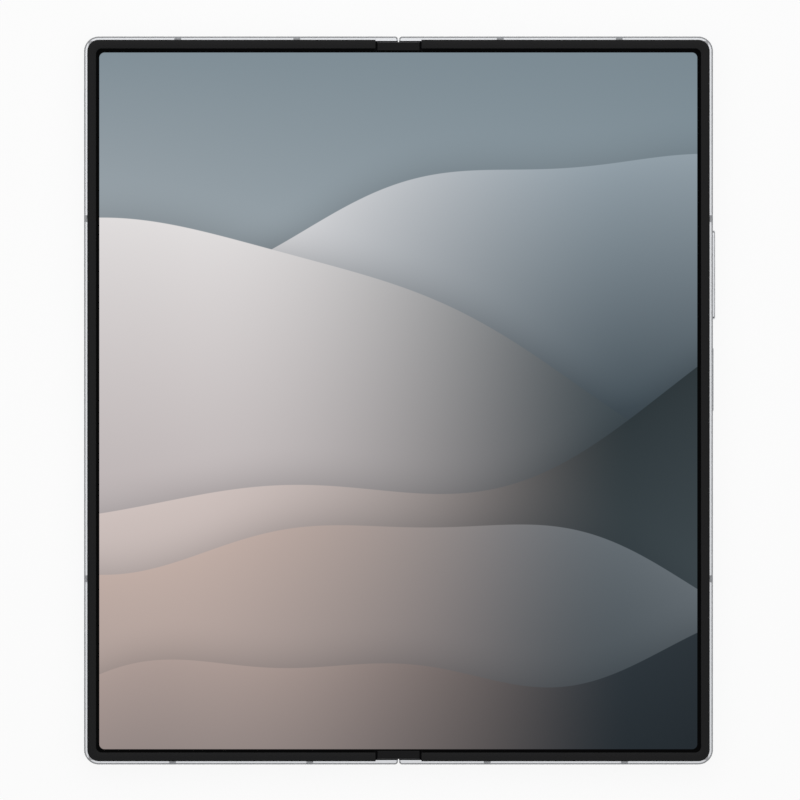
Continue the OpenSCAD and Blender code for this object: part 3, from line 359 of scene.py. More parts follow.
band_plastic = plastic("band_plastic", (0.40, 0.41, 0.43), 0.42)
bezel_black = plastic("bezel_black", (0.0085, 0.0085, 0.009), 0.38, specular=0.13)
cap_black = plastic("cap_black", (0.006, 0.006, 0.0065), 0.40, specular=0.11)
# Painted highlight: the outer lip of each cap is drawn lighter where its bevel would catch the
# light.
LIP_Y = 75.46
_, cap_y, _ = cap_black.axes(cap_black.place(IN_MM))
painted_lip_highlight = cap_y.math("ABSOLUTE").above(LIP_Y, 0.01)
cap_black.set("Base Color", cap_black.mix(painted_lip_highlight, cap_black.colour, (0.075, 0.075, 0.078)))
camera_black = plastic("camera_black", (0.012, 0.012, 0.014), 0.45, specular=0.3)
speaker_black = plastic("speaker_black", (0.02, 0.02, 0.022), 0.5)
print([m.name for m in bpy.data.materials if "black" in m.name])

# %% [markdown]
# ## Glass on the back
# The rear glass is etched: a milky satin under which fine mica sparkles. The cover glass
# on the other half is polished and nearly black, with the lit area of its display a
# shade apart from the border.

# %% Back glasses
etched = Finish("rear_glass", IOR=1.5, Coat_Roughness=0.25)
haze = etched.noise(35, detail=4)
mica = etched.node("TexVoronoi", Vector=etched.place(), Scale=5200)
sparkle = (0.16 - mica).math("MAXIMUM", 0) * 5
etched.set("Base Color", etched.mix(haze * 0.7 + sparkle * 0.3,
                                    (0.37, 0.385, 0.41), (0.47, 0.485, 0.51)))
etched.set("Roughness", 0.46 - sparkle * 0.2 + haze * 0.08)
etched.set("Coat Weight", haze * 0.15 + 0.25)
etched.bump(etched.noise(9000, detail=2), 0.003 * MM, 0.4)

cover_low, cover_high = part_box("cover_glass")
COVER_X = (cover_low.x + cover_high.x) / 2
COVER_W, COVER_H = cover_high.x - cover_low.x, cover_high.y - cover_low.y
PANEL_EDGE, PANEL_CORNER = 1.9, 2.2
EYE_R, EYE_RIM_R = 0.9, 1.9
polished = Finish("cover_glass", IOR=1.5, Coat_Roughness=0.02)
cx, cy, _ = polished.axes(polished.place(IN_MM, (COVER_X, 0, 0)))
panel = inside(cx, cy, COVER_W / 2 / MM - PANEL_EDGE, COVER_H / 2 / MM - PANEL_EDGE,
               PANEL_CORNER, 0.05)
smear = polished.noise(45, detail=5)
eye_low, eye_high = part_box("cover_camera")
ex, ey, _ = polished.axes(polished.place(IN_MM, tuple((eye_low + eye_high) / 2)))
from_eye = (ex * ex + ey * ey).math("SQRT")
glass_tone = polished.mix(panel, (0.0035, 0.0035, 0.004), (0.010, 0.0105, 0.0125))
rim_tone = polished.mix(1 - from_eye.above(EYE_RIM_R, 0.03), glass_tone, (0.002, 0.002, 0.002))
polished.set("Base Color", polished.mix(1 - from_eye.above(EYE_R, 0.03), rim_tone,
                                        (0.012, 0.014, 0.035)))
polished.set("Roughness", smear * 0.06 + 0.03)
polished.set("Coat Weight", smear * 0.2 + 0.5)
print("cover glass", round(COVER_W / MM, 1), "x", round(COVER_H / MM, 1), "mm")

# %% [markdown]
# ## Boards, batteries and coils
# These hide behind the glass, but a part of the library may be opened up. Each gets the
# mark of how it is made: solder mask over tracks on a board, pressed seams on a shield,
# creased foil on a battery, and close turns of wire on the charging coil, coloured with a
# painted highlight along the top of each turn and painted shade between turns.

# %% Finishes for the inside
board_finish = Finish("board_green", IOR=1.5, Coat_Roughness=0.2)
tracks = board_finish.node("TexBrick", {"offset": 0.5, "squash": 0.6}, out=1,
                           Vector=board_finish.place(), Scale=420, s5=0.02, s6=0.2)
cells = board_finish.node("TexVoronoi", Vector=board_finish.place(), Scale=900)
vias = 1 - cells.above(0.16, 0.02)
mask_green = board_finish.mix(tracks, (0.008, 0.055, 0.032), (0.012, 0.085, 0.048))
board_finish.set("Base Color", board_finish.mix(vias, mask_green, (0.62, 0.5, 0.26)))
board_finish.set("Metallic", vias)
board_finish.set("Roughness", 0.42 - tracks * 0.1)
board_finish.set("Coat Weight", 0.3 - vias * 0.3)
board_finish.bump(tracks * 0.4 + vias * 0.6, 0.03 * MM, 0.6)

shield_finish = Finish("shield_tin", Metallic=1.0)
plate_noise = shield_finish.noise(2600, detail=4, stretch=LINES_X)
spots = shield_finish.node("TexVoronoi", Vector=shield_finish.place(), Scale=300)
dents = 1 - spots.above(0.22, 0.03)
shield_finish.set("Base Color", shield_finish.mix(plate_noise, (0.55, 0.55, 0.56),
                                                  (0.66, 0.66, 0.67)))
shield_finish.set("Roughness", plate_noise * 0.12 + 0.26)
shield_finish.bump(1 - dents, 0.05 * MM, 0.5)

foil = Finish("battery_foil", IOR=1.45)
creases = foil.noise(240, detail=6, rough=0.65)
foil_grain = foil.noise(5000, detail=2)
foil.set("Base Color", foil.mix(creases, (0.016, 0.017, 0.019), (0.03, 0.032, 0.035)))
foil.set("Roughness", creases * 0.2 + foil_grain * 0.1 + 0.3)
foil.bump(creases, 0.06 * MM, 0.7)

coil_low, coil_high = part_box("charging_coil")
coil_middle = (coil_low + coil_high) / 2
copper = Finish("coil_copper", Metallic=1.0)
kx, ky, _ = copper.axes(copper.place(IN_MM, tuple(coil_middle)))
TURN_GAP = 0.42
coil_turn = ky.math("ARCTAN2", kx) / (2 * math.pi)
wire = ((kx * kx + ky * ky).math("SQRT") / TURN_GAP - coil_turn).math("FRACT")
# Painted light: the colour is bright along the top of each turn and dark in the grooves between
# turns.
wire_height_and_painted_light = 1 - (wire * 2 - 1).math("POWER", 2)
copper.set("Base Color", copper.mix(wire_height_and_painted_light, (0.22, 0.09, 0.035), (0.80, 0.40, 0.21)))
copper.set("Roughness", 0.45 - wire_height_and_painted_light * 0.2)
copper.bump(wire_height_and_painted_light, 0.12 * MM, 0.8)
print("coil turns:", round((coil_high.x - coil_low.x) / 4 / MM / TURN_GAP))


# %% [markdown]
# ## Lens glass, flash and sound meshes
# The lens covers are clear glass with a faint violet coating against reflections, for
# which a low index stands in. The flash is a yellow diffuser with Fresnel rings over two
# small emitters. Behind the sound holes lies a woven dust mesh, two crossed waves.

# %% Finishes for small parts
lens_glass = Finish("lens_glass", IOR=1.16, Transmission_Weight=1.0, Specular_IOR_Level=0.12)
lens_ring = ring_distance(lens_glass)
lens_glass.set("Base Color", lens_glass.mix(lens_ring / 6, (0.86, 0.90, 0.98),
                                            (0.93, 0.90, 0.97)))
lens_glass.set("Roughness", lens_ring * 0.004 + 0.01)

FRONT_R, BARREL_R = 1.47, 4.1
optics = Finish("optics", IOR=1.5, Coat_Roughness=0.02, Specular_IOR_Level=0.12)
optic_ring = ring_distance(optics)
coating = optics.ramp(optic_ring / BARREL_R,
                      (0.0, (0.006, 0.008, 0.022)), (0.16, (0.030, 0.016, 0.075)),
                      (0.32, (0.008, 0.030, 0.055)), (0.37, (0.004, 0.004, 0.005)),
                      (1.0, (0.008, 0.008, 0.009)))
optics.set("Base Color", coating)
optics.set("Coat Weight", 0.35 - optic_ring.above(FRONT_R, 0.03) * 0.35)
optics.set("Roughness", optic_ring.above(FRONT_R, 0.03) * 0.4 + 0.04)

flash_low, flash_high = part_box("flash_led")
flash_middle = (flash_low + flash_high) / 2
RINGS_PER_MM = 4.5
EMITTER_Y, EMITTER_HALF = 0.55, (0.5, 0.35)
diffuser = Finish("flash_diffuser", IOR=1.46, Coat_Roughness=0.1)
fx, fy, _ = diffuser.axes(diffuser.place(IN_MM, tuple(flash_middle)))
flash_r = (fx * fx + fy * fy).math("SQRT")
fresnel = (flash_r * RINGS_PER_MM).math("FRACT")
emitters = inside(fx, fy.math("ABSOLUTE") - EMITTER_Y, *EMITTER_HALF, 0.08, 0.04)
diffuser.set("Base Color", diffuser.mix(emitters, (0.78, 0.76, 0.66), (0.82, 0.62, 0.14)))
diffuser.set("Roughness", fresnel * 0.15 + 0.22)
diffuser.set("Coat Weight", 0.6 - emitters * 0.2)
diffuser.bump(fresnel, 0.04 * MM, 0.7)

weave = Finish("sound_mesh", Metallic=0.7)
THREAD_TURNS = 40
wx, _, wz = weave.axes(weave.place(IN_MM))
waves = (wx * THREAD_TURNS).math("SINE") * (wz * THREAD_TURNS).math("SINE")
threads = waves * 0.5 + 0.5
weave.set("Base Color", weave.mix(threads, (0.01, 0.01, 0.01), (0.09, 0.09, 0.095)))
weave.set("Roughness", 0.6 - threads * 0.2)
weave.bump(threads, 0.03 * MM, 0.8)
contact_gold = metal("contact_gold", (0.85, 0.66, 0.30), 0.22, grain=9000)
print("flash at", [round(c / MM, 1) for c in flash_middle])

# %% [markdown]
# ## The island and the cover display
# The camera island is painted metal with a satin sheen. The cover display is dark when
# it is off, and a touch bluer than the glass around it.

# %% Island paint and the dark panel
island = Finish("island_paint", IOR=1.5, Coat_Roughness=0.3)
orange_peel = island.noise(1800, detail=2)
flakes = island.noise(12000, detail=3)
island.set("Base Color", island.mix(flakes, (0.085, 0.09, 0.10), (0.125, 0.13, 0.14)))
island.set("Metallic", flakes * 0.3 + 0.2)
island.set("Roughness", flakes * 0.1 + 0.32)
island.set("Coat Weight", orange_peel * 0.2 + 0.2)
island.bump(orange_peel, 0.004 * MM, 0.5)

panel_glass = Finish("cover_panel", IOR=1.5)
pixels = panel_glass.node("TexChecker", out=1, Vector=panel_glass.place(), Scale=12000)
panel_glass.set("Base Color", panel_glass.mix(pixels, (0.004, 0.004, 0.006),
                                              (0.007, 0.008, 0.011)))
panel_glass.set("Roughness", pixels * 0.05 + 0.12)
print("island and panel done")

# %% [markdown]
# ## The picture on the display
# The lit area is a rounded rectangle inside a deep black border. Its picture is generic:
# drifting dunes, drawn as layers from far to near. Each layer has a wavy crest, a shade
# that changes along X and down from the crest, and a soft shadow cast on the layer
# behind it. It reads the sheet's own flat map, one unit of which is 100 mm, so it stays
# on the sheet when it bends.

# %% The display finish
LIT_X, LIT_Y, LIT_CORNER = 63.04, 73.45, 1.1
LIT_SHIFT = (-0.04, -0.08)
FLAT_UNIT = 100
SKY_MIDDLE, SKY_HEIGHT = 0.55, 150
SHADOW_REACH, SHADOW_SHARE, SHADOW_TONE = 9, 0.22, (34, 42, 48)
display = Finish("display", IOR=1.5, Emission_Strength=1.0, Specular_IOR_Level=0.02,
                 Coat_Roughness=0.05)
u, v, _ = display.axes(display.place((FLAT_UNIT, FLAT_UNIT, 1), uv="flat"))


def screen(*levels):
    """A screen colour from 0 to 255 as the linear light that a shader works in."""
    return tuple(((c / 255 + 0.055) / 1.055) ** 2.4 for c in levels)


def shade(along, down, near_left, near_right, far_left, far_right):
    """Four corner colours of a layer, mixed along X and down from its crest."""
    top = display.mix(along, screen(*near_left), screen(*near_right))
    foot = display.mix(along, screen(*far_left), screen(*far_right))
    return display.mix(down, top, foot)


def wave(height, tilt, swells):
    """A crest line: a height, a slope and a few sine swells of (size, length, start)."""
    line = u * tilt + height
    for size, length, start in swells:
        line = line + (u / length + start).math("SINE") * size
    return line


def clamp(value):
    return value.math("MAXIMUM", 0).math("MINIMUM", 1)


across = u / (2 * LIT_X) + 0.5
picture = shade(across, SKY_MIDDLE - v / SKY_HEIGHT,
                (122, 137, 146), (118, 133, 142), (205, 208, 211), (160, 174, 183))
DUNES = [
    # height, tilt, swells, then the shades near the crest and at the foot, left and
    # right, and how far down the foot is
    (39, 0.10, [(9, 31, 0.5), (2.5, 12, 1.7)],
     (218, 217, 219), (146, 159, 168), (168, 172, 177), (66, 78, 86), 52),
    (15, -0.22, [(13, 36, 2.4), (2, 14, 0.2)],
     (224, 221, 221), (62, 73, 79), (190, 182, 182), (42, 51, 56), 56),
    (-11, 0.30, [(11, 33, 4.1), (3, 15, 2.9)],
     (206, 193, 189), (44, 53, 57), (166, 155, 153), (60, 70, 75), 50),
    (-33, -0.12, [(10, 30, 0.9), (2, 11, 4.0)],
     (192, 173, 165), (98, 106, 112), (158, 146, 143), (58, 67, 73), 44),
    (-56, 0.16, [(8, 27, 3.3), (2, 10, 1.1)],
     (172, 155, 149), (42, 50, 56), (128, 120, 119), (30, 37, 42), 34),
]
for height, tilt, swells, near_left, near_right, far_left, far_right, depth in DUNES:
    below = wave(height, tilt, swells) - v
    shadow = clamp(1 + below / SHADOW_REACH)
    picture = display.mix(shadow * shadow * SHADOW_SHARE, picture, screen(*SHADOW_TONE))
    down = clamp(below / depth).math("POWER", 0.8)
    layer = shade(across.above(0.52, 0.38), down, near_left, near_right, far_left, far_right)
    picture = display.mix(below.above(0, 0.09), picture, layer)
lit = inside(u - LIT_SHIFT[0], v - LIT_SHIFT[1], LIT_X, LIT_Y, LIT_CORNER, 0.03)
display.set("Base Color", display.mix(lit, (0.001, 0.001, 0.0011), (0.002, 0.002, 0.0022)))
display.set("Emission Color", display.mix(lit, (0, 0, 0), picture))
display.set("Roughness", display.noise(40, detail=3, uv="flat") * 0.05 + 0.08)
print(len(DUNES), "dune layers;", len(display.tree.nodes), "nodes in the display")

# %% [markdown]
# ## Helpers for making pieces
# Most parts of a phone are plates with round corners and softened edges. A plate starts
# from a one-face grid whose corners are bevelled, is extruded to its thickness, and has
# its rim bevelled. `piece` turns the finished bmesh into an object that rides on a body.

# %% Plates and pieces
SHARP_ANGLE = math.radians(32)


def outline(bm, x0, x1, y0, y1, z, corner, steps=8):
    """One flat face with round corners."""
    made = bmesh.ops.create_grid(bm, x_segments=1, y_segments=1, size=0.5)["verts"]
    size = Matrix.Diagonal((x1 - x0, y1 - y0, 1, 1))
    middle = Matrix.Translation(((x0 + x1) / 2, (y0 + y1) / 2, z))
    bmesh.ops.transform(bm, matrix=middle @ size, verts=made)
    face = made[0].link_faces[0]
    if corner:
        others = set(bm.faces) - {face}
        bmesh.ops.bevel(bm, geom=made, offset=corner, segments=steps, profile=0.5,
                        affect="VERTICES", material=-1)
        face = next(f for f in bm.faces if f not in others)
    return face


def extrude(bm, faces, shift):
    """Extrudes faces along a shift and gives the first of the new faces."""
    made = bmesh.ops.extrude_face_region(bm, geom=faces)["geom"]
    moved = [v for v in made if isinstance(v, bmesh.types.BMVert)]
    bmesh.ops.translate(bm, vec=shift, verts=moved)
    return next(f for f in made if isinstance(f, bmesh.types.BMFace))


def cut(bm, point, normal, drop=False):
    """Cuts the whole bmesh with a plane, and drops what lies beyond it on request."""
    bmesh.ops.bisect_plane(bm, geom=bm.verts[:] + bm.edges[:] + bm.faces[:],
                           plane_co=point, plane_no=normal, clear_outer=drop)


def soften(bm, edges, width, steps=3):
    """Rounds edges with a narrow bevel."""
    bmesh.ops.bevel(bm, geom=edges, offset=width, segments=steps, profile=0.5,
                    affect="EDGES", material=-1)


def plate(bm, x0, x1, y0, y1, z0, z1, corner, soft_top=0, soft_bottom=0):
    """A plate with round corners, softened along its top and bottom rims."""
    bottom = outline(bm, x0, x1, y0, y1, z0, corner)
    top = extrude(bm, [bottom], (0, 0, z1 - z0))
    rims = [(top, soft_top), (bottom, soft_bottom)]
    edges = [(list(face.edges), width) for face, width in rims if width]
    for rim, width in edges:
        soften(bm, [e for e in rim if e.is_valid], width)


def piece(name, bm, body, finish, stands_for=()):
    """The finished bmesh as an object: outward faces, smooth shading, its finish and body."""
    bmesh.ops.remove_doubles(bm, verts=bm.verts, dist=1e-7)
    bmesh.ops.recalc_face_normals(bm, faces=bm.faces)
    mesh = bpy.data.meshes.new(name)
    bm.to_mesh(mesh)
    bm.free()
    for face in mesh.polygons:
        face.use_smooth = True
    mesh.set_sharp_from_angle(angle=SHARP_ANGLE)
    mesh.materials.append(finish.material)
    made = bpy.data.objects.new(name, mesh)
    bpy.context.scene.collection.objects.link(made)
    if body:
        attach(made, body)
    if stands_for:
        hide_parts(*stands_for)
    print(name, len(mesh.polygons), "faces")
    return made


# %% [markdown] ## The folding display The display is one sheet over both halves and the
# hinge. Cuts every fifth of a millimetre divide it across the fold. It is notched at both ends
# of the fold, where the hinge caps stand.

# %% The display's two sheets
STRIPS = 24
SHEET_CORNER = 1.55 * MM


def display_sheet(name, side, stands_for):
    """One half of the display, with a flat map for the picture."""
    bm = bmesh.new()
    outline(bm, -DISPLAY_X, DISPLAY_X, -DISPLAY_Y, DISPLAY_Y, DECK_Z, SHEET_CORNER)
    for strip in range(1, STRIPS + 1):
        cut(bm, (side * BEND_X * strip / STRIPS, 0, 0), (1, 0, 0))
    for y in (FOLD_Y, -FOLD_Y):
        cut(bm, (0, y, 0), (0, 1, 0))
    cut(bm, (0, 0, 0), (-side, 0, 0), drop=True)
    notch = [f for f in bm.faces if abs(f.calc_center_median().x) < BEND_X
             and abs(f.calc_center_median().y) > FOLD_Y]
    bmesh.ops.delete(bm, geom=notch, context="FACES")
    extrude(bm, bm.faces[:], (0, 0, FRONT_Z - DECK_Z))
    flat = bm.loops.layers.uv.new("flat")
    for face in bm.faces:
        for corner in face.loops:
            corner[flat].uv = corner.vert.co.xy / (FLAT_UNIT * MM)
    made = piece(name, bm, None, display, stands_for)
    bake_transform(made)


display_sheet("display_sheet_right", 1, ["display_right", "display_fold"])
display_sheet("display_sheet_left", -1, ["display_left"])

# %% [markdown]
# ## The raised bezel
# A soft black frame stands 0.4 mm over the display and keeps the two halves of it apart
# when the phone is closed. Its outer and inner corners have different radii, so an inset
# can't make it. Two outlines are bridged into a flat ring, the ring is raised, its top
# edges are rounded, and a cut beside the fold leaves one half's share of it.

# %% The bezel's two halves
RIM_CORNER, WINDOW_CORNER, BEZEL_ROUNDING = 2.42 * MM, 1.15 * MM, 0.16 * MM


def bezel(name, side, half, node):
    """The share of the bezel that one half carries."""
    bm = bmesh.new()
    outer = outline(bm, -RIM_X, RIM_X, -RIM_Y, RIM_Y, FRONT_Z, RIM_CORNER)
    inner = outline(bm, -WINDOW_X, WINDOW_X, -WINDOW_Y, WINDOW_Y, FRONT_Z, WINDOW_CORNER)
    rims = list(outer.edges) + list(inner.edges)
    bmesh.ops.delete(bm, geom=[outer, inner], context="FACES_ONLY")
    bmesh.ops.bridge_loops(bm, edges=rims)
    extrude(bm, bm.faces[:], (0, 0, BEZEL_Z - FRONT_Z))
    tops = [e for e in bm.edges if len(e.link_faces) == 2
            and all(v.co.z > BEZEL_Z - 1e-6 for v in e.verts)
            and abs(e.link_faces[0].normal.z - e.link_faces[1].normal.z) > 0.5]
    soften(bm, tops, BEZEL_ROUNDING, 4)
    cut(bm, (side * BEZEL_END_X, 0, 0), (-side, 0, 0), drop=True)
    bmesh.ops.holes_fill(bm, edges=[e for e in bm.edges if e.is_boundary], sides=0)
    piece(name, bm, half, bezel_black, [node])


bezel("bezel_frame_right", 1, "right_half", "right_bezel")
bezel("bezel_frame_left", -1, "left_half", "left_bezel")

# %% [markdown]
# ## Keys
# A key is a small metal bar whose outer face meets the thumb, so its rim is well rounded.
# It is modelled flat like any plate, and a quarter turn about Y stands it up in the side
# of the phone. The flange behind it keeps it from falling out.

# %% Volume and side keys
STAND = Matrix.Rotation(math.radians(90), 4, "Y")
FLANGE_L, FLANGE_T, FLANGE_CORNER = 0.5 * MM, 0.4 * MM, 0.1 * MM
OVERLAP = 0.9
FLAT_END = 0.08 * MM


def key(name, node, finish, soft):
    """A bar and the flange behind it, as large as the node that they stand for."""
    low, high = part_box(node)
    half_h = (high.z - low.z) / 2
    half_l = (high.y - low.y) / 2
    reach = high.x - low.x
    bm = bmesh.new()
    plate(bm, -half_h, half_h, -half_l, half_l, 0, FLANGE_T, FLANGE_CORNER)
    plate(bm, -half_h, half_h, -half_l + FLANGE_L, half_l - FLANGE_L, FLANGE_T * OVERLAP,
          reach, half_h - FLAT_END, soft)
    spot = Matrix.Translation((low.x, (low.y + high.y) / 2, (low.z + high.z) / 2))
    bmesh.ops.transform(bm, matrix=spot @ STAND, verts=bm.verts)
    piece(name, bm, node, finish, [node])


key("volume_bar", "volume_key", key_metal, 0.3 * MM)
key("side_bar", "side_key", sensor_metal, 0.1 * MM)

# %% [markdown]
# ## Turned parts of the cameras
# Rings, lens covers and barrels are all turned parts: a profile of points, given as
# radius and height, spun once about the camera's axis. Low heights face the subject. The
# barrel steps inwards to its front element, which is a small dome.

# %% Rings, lenses and barrels
def turned(bm, profile, x, y, steps=72):
    """Spins a profile of (radius, height) in millimetres about an upright axis."""
    corners = [bm.verts.new((x + r * MM, y, z * MM)) for r, z in profile]
    edges = [bm.edges.new(pair) for pair in zip(corners, corners[1:])]
    bmesh.ops.spin(bm, geom=corners + edges, cent=(x, y, 0), axis=(0, 0, 1),
                   angle=2 * math.pi, steps=steps, use_merge=True)


def dome(radius, top, depth, count=7):
    """A curved face from the axis out to a radius."""
    turns = [i / count for i in range(count + 1)]
    return [(radius * t, top + depth * (1 - math.cos(t * math.pi / 2))) for t in turns]


RING = [(6.6, 1.1), (6.6, 0.16), (6.56, 0.07), (6.49, 0.015), (6.40, 0.0), (5.80, 0.0),
        (5.73, 0.015), (5.67, 0.06), (5.65, 0.13), (5.65, 0.75), (4.5, 0.75), (4.35, 0.8),
        (4.2, 0.95), (4.2, 1.1), (6.6, 1.1)]
LENS = [(0, 0.25), (5.5, 0.25), (5.57, 0.27), (5.62, 0.33), (5.62, 0.75), (0, 0.75)]
BARREL = dome(1.45, 1.05, 0.32) + [
    (1.5, 1.42), (1.72, 1.42), (1.78, 1.3), (2.15, 1.3), (2.22, 1.12), (2.7, 1.12),
    (2.76, 1.02), (3.3, 1.02), (3.36, 0.87), (4.0, 0.87), (4.08, 0.92), (4.1, 1.0),
    (4.1, 3.1), (0, 3.1)]
HOUSING_LOW, HOUSING_HIGH = 2.27 * MM, 5.68 * MM
HOUSING_CORNER, HOUSING_ROUNDING = 0.9 * MM, 0.25 * MM

for name, profile, finish, slot_name, node in (
        ("camera_rings_turned", RING, ring_finish, "frame_metal", "camera_rings"),
        ("lens_covers", LENS, lens_glass, "lens_glass", "camera_lenses")):
    bm = bmesh.new()
    for y in CAMERA_YS:
        turned(bm, profile, CAMERA_X, y)
    piece(name, bm, "right_half", finish, [node])

for number, y in enumerate(reversed(CAMERA_YS), 1):
    node = "camera_module_" + str(number)
    low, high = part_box(node)
    bm = bmesh.new()
    turned(bm, BARREL, CAMERA_X, y)
    piece("barrel_" + str(number), bm, "right_half", optics, [node])
    bm = bmesh.new()
    plate(bm, low.x, high.x, low.y, high.y, HOUSING_LOW, HOUSING_HIGH, HOUSING_CORNER,
          HOUSING_ROUNDING, HOUSING_ROUNDING)
    piece("camera_housing_" + str(number), bm, "right_half", camera_black)

# %% [markdown]
# ## Inside the openings
# Each opening in the frame shows what lies behind it: a gold-striped tongue in the
# socket, and a fine woven mesh behind every sound hole.

# %% Contacts and meshes
port_low, port_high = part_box("usb_port")
PORT_X = (port_low.x + port_high.x) / 2
TONGUE_Z, TONGUE_HALF_T = 4.15, 0.35
CONTACTS, CONTACT_PITCH, CONTACT_HALF_W, CONTACT_T = 12, 0.5, 0.13, 0.02
CONTACT_END_Y, CONTACT_BACK_Y = -73.0, -70.6
POWER_PLACES, POWER_REACH, SIGNAL_REACH = (0, 3, 8, 11), 1.2, 1.6
bm = bmesh.new()
for side in (1, -1):
    face_z = TONGUE_Z + side * TONGUE_HALF_T
    for number in range(CONTACTS):
        x = PORT_X + (number - (CONTACTS - 1) / 2) * CONTACT_PITCH * MM
        reach = POWER_REACH if number in POWER_PLACES else SIGNAL_REACH
        z0, z1 = sorted((face_z, face_z + side * CONTACT_T))
        plate(bm, x - CONTACT_HALF_W * MM, x + CONTACT_HALF_W * MM,
              (CONTACT_END_Y - reach) * MM, CONTACT_BACK_Y * MM, z0 * MM, z1 * MM, 0.04 * MM)
piece("socket_contacts", bm, "right_half", contact_gold)

speaker_low, speaker_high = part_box("bottom_speaker")
HOLE_Z, HOLE_PITCH = 4.25, 2
DISC_R, DISC_T = 0.49, 0.1
SOUND_ROWS = [
    # middle along X, number of holes, place along Y, all for the left half
    (-41.4, 4, 76.1),
    ((speaker_low.x + speaker_high.x) / 2 / MM, 6, -76.2),
]
FACE_Y = Matrix.Rotation(math.pi / 2, 4, "X")
bm = bmesh.new()
for middle, count, y in SOUND_ROWS:
    for number in range(count):
        x = middle + (number - (count - 1) / 2) * HOLE_PITCH
        disc = bmesh.ops.create_circle(bm, cap_ends=True, radius=DISC_R * MM, segments=24)
        spot = Matrix.Translation((x * MM, y * MM, HOLE_Z * MM))
        bmesh.ops.transform(bm, matrix=spot @ FACE_Y, verts=disc["verts"])
        extrude(bm, [disc["verts"][0].link_faces[0]], (0, DISC_T * MM, 0))
piece("sound_meshes", bm, "left_half", weave)

# %% [markdown]
# ## Finishes for the measured parts
# Every node that no new piece stands for gets one of the finishes.

# %% Materials on the CAD nodes
WEAR = {
    frame_metal: ["right_frame", "left_frame", "card_tray"],
    band_plastic: ["right_antenna_bands", "left_antenna_bands"],
    cap_black: ["hinge_cap_top", "hinge_cap_bottom"],
    spine: ["hinge_cover"],
    milled_steel: ["hinge_base_top", "hinge_base_middle", "hinge_base_bottom", "centre_plate"],
    black_steel: ["right_wing_plate", "left_wing_plate"],
    rolled_steel: ["right_rail_bracket_top", "right_rail_bracket_bottom", "right_sync_bracket",
                   "left_rail_bracket_top", "left_rail_bracket_bottom", "left_sync_bracket"],
    gear_steel: ["right_drive_gear", "left_drive_gear", "right_idler_gear", "left_idler_gear"],
    screw_steel: ["right_screws", "left_screws"],
    nickel: ["right_magnets", "left_magnets", "usb_port"],
    switch_brass: ["key_switches"],
    etched: ["back_glass"],
    polished: ["cover_glass"],
    panel_glass: ["cover_display"],
    island: ["camera_island"],
    diffuser: ["flash_led"],
    camera_black: ["cover_camera"],
    speaker_black: ["top_speaker", "bottom_speaker"],
    board_finish: ["main_board", "usb_board", "left_board"],
    shield_finish: ["board_shields", "card_reader", "vibration_motor"],
    foil: ["right_battery", "left_battery"],
    copper: ["charging_coil"],
    bezel_black: ["right_bezel", "left_bezel"],
    display: ["display_right", "display_left", "display_fold"],
    ring_finish: ["camera_rings"],
    lens_glass: ["camera_lenses"],
    optics: ["camera_module_1", "camera_module_2", "camera_module_3"],
    key_metal: ["volume_key"],
    sensor_metal: ["side_key"],
}
for finish, names in WEAR.items():
    for name in names:
        mesh = NODES[name].data
        mesh.materials.clear()
        mesh.materials.append(finish.material)
dressed = {name for names in WEAR.values() for name in names}
print("nodes without a finish:", sorted(set(NODES) - dressed))

# %% [markdown]
# ## Camera
# The photograph looks straight down with hardly any perspective, so the camera is
# orthographic over the middle of the phone.

# %% Camera
VIEW_W = 0.1687
VIEW_MIDDLE = (0.000316, 0.000105)
VIEW_HEIGHT = 0.4
camera = bpy.data.objects.new("top_view", bpy.data.cameras.new("top_view"))
camera.data.type = "ORTHO"
camera.data.ortho_scale = VIEW_W
camera.location = (*VIEW_MIDDLE, VIEW_HEIGHT)
bpy.context.scene.collection.objects.link(camera)
bpy.context.scene.camera = camera
bpy.context.scene.view_settings.view_transform = "Standard"
print("one pixel of 800 is", round(VIEW_W / 800 / MM, 3), "mm")

# %% [markdown]
# ## Light
# The room is a plain studio, brightest overhead, with one wide soft lamp. What cameras,
# glass and mirrors see of it is white paper. A polished or blasted metal edge would
# vanish against so much white, so photographers stand black cards around the object:
# here a dark band, open at the top, that the camera itself doesn't see. It stands nearer
# at the bottom of the picture, where the photograph's metal edge is darkest.

# %% World
SEEN_RAYS = ("Is Camera Ray", "Is Glossy Ray", "Is Transmission Ray")


def seen_white(tree, lit, white, share):
    """A shader that is mostly plain white where it is seen, and lit for all other rays."""
    path = tree.nodes.new("ShaderNodeLightPath")
    camera_ray, glossy_ray, glass_ray = [Value(tree, path.outputs[name]) for name in SEEN_RAYS]
    seen = camera_ray.math("MAXIMUM", glossy_ray).math("MAXIMUM", glass_ray) * share
    mixed = tree.nodes.new("ShaderNodeMixShader")
    for slot_number, socket in enumerate((seen.socket, lit, white)):
        tree.links.new(socket, mixed.inputs[slot_number])
    return mixed.outputs[0]


HORIZON, ZENITH, LEAN = 0.15, 0.95, 0.13
world = bpy.data.worlds.new("studio")
bpy.context.scene.world = world
world.use_nodes = True
sky = world.node_tree
sky.nodes.clear()
place = sky.nodes.new("ShaderNodeTexCoord")
split = sky.nodes.new("ShaderNodeSeparateXYZ")
sky.links.new(place.outputs["Generated"], split.inputs[0])
_, toward_top, upward = [Value(sky, s) for s in split.outputs]
level = upward.above(0.42, 0.38) * (ZENITH - HORIZON) + HORIZON + toward_top * LEAN
studio = sky.nodes.new("ShaderNodeBackground")
sky.links.new(level.socket, studio.inputs["Strength"])
plain = sky.nodes.new("ShaderNodeBackground")
for background in (studio, plain):
    background.inputs["Color"].default_value = (1, 1, 1, 1)
out = sky.nodes.new("ShaderNodeOutputWorld")
sky.links.new(seen_white(sky, studio.outputs[0], plain.outputs[0], 1), out.inputs[0])
print("studio light from", HORIZON, "to", ZENITH)

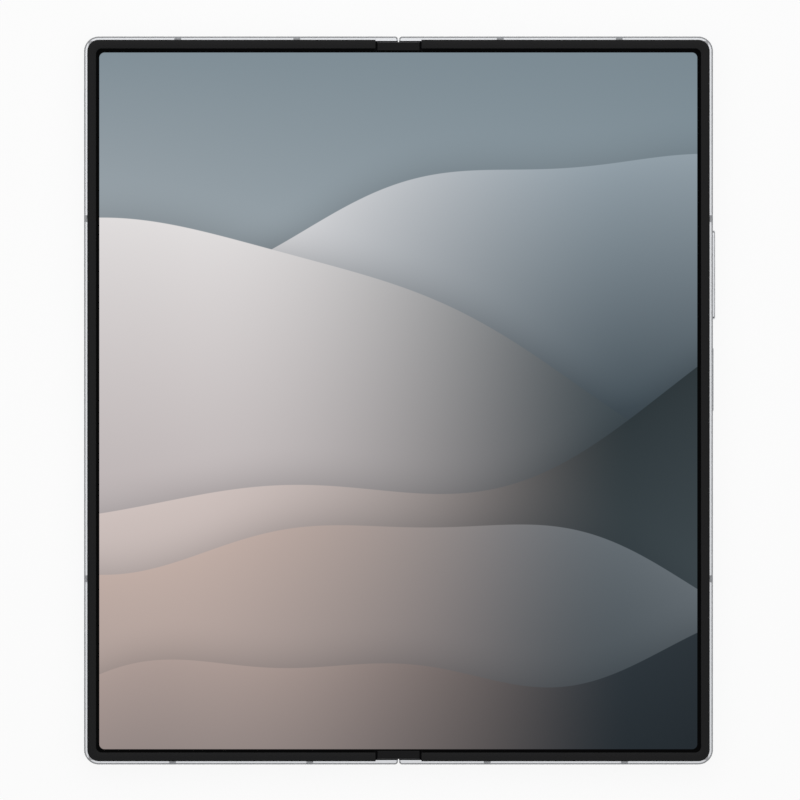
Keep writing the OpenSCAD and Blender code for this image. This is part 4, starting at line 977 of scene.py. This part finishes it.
# %% Lamp, band and floor
LAMP_AT, LAMP_SIZE, LAMP_WATTS = Vector((-0.06, 0.36, 0.85)), (0.7, 0.5), 0.8
lamp = bpy.data.objects.new("wide_lamp", bpy.data.lights.new("wide_lamp", "AREA"))
lamp.data.shape = "RECTANGLE"
lamp.data.size, lamp.data.size_y = LAMP_SIZE
lamp.data.energy = LAMP_WATTS
lamp.location = LAMP_AT
lamp.rotation_euler = (-LAMP_AT).to_track_quat("-Z", "Y").to_euler()
lamp.visible_camera = False
bpy.context.scene.collection.objects.link(lamp)


def stage_piece(name, bm, tone, white_share):
    """A matt grey sheet of the studio, of which a share is seen as plain white."""
    mesh = bpy.data.meshes.new(name)
    bm.to_mesh(mesh)
    bm.free()
    made = bpy.data.objects.new(name, mesh)
    bpy.context.scene.collection.objects.link(made)
    material = bpy.data.materials.new(name)
    material.use_nodes = True
    tree = material.node_tree
    tree.nodes.clear()
    matt = tree.nodes.new("ShaderNodeBsdfDiffuse")
    matt.inputs["Color"].default_value = (tone, tone, tone, 1)
    white = tree.nodes.new("ShaderNodeEmission")
    surface = tree.nodes.new("ShaderNodeOutputMaterial")
    shown = seen_white(tree, matt.outputs[0], white.outputs[0], white_share)
    tree.links.new(shown, surface.inputs["Surface"])
    mesh.materials.append(material)
    return made


BAND_R, BAND_H, BAND_BACK, BAND_TONE = 0.6, 0.38, 0.2, 0.03
FLOOR_SIZE, FLOOR_TONE, FLOOR_WHITE = 20, 0.97, 0.9
bm = bmesh.new()
bmesh.ops.create_circle(bm, segments=64, radius=BAND_R)
wall = bmesh.ops.extrude_edge_only(bm, edges=bm.edges[:])["geom"]
risen = [v for v in wall if isinstance(v, bmesh.types.BMVert)]
bmesh.ops.translate(bm, vec=(0, 0, BAND_H), verts=risen)
bmesh.ops.translate(bm, vec=(0, BAND_BACK, 0), verts=bm.verts)
band = stage_piece("dark_band", bm, BAND_TONE, 0)
band.visible_camera = False

bm = bmesh.new()
bmesh.ops.create_grid(bm, x_segments=1, y_segments=1, size=FLOOR_SIZE)
stage_piece("floor", bm, FLOOR_TONE, FLOOR_WHITE)
print("lamp at", [round(c, 2) for c in lamp.location])
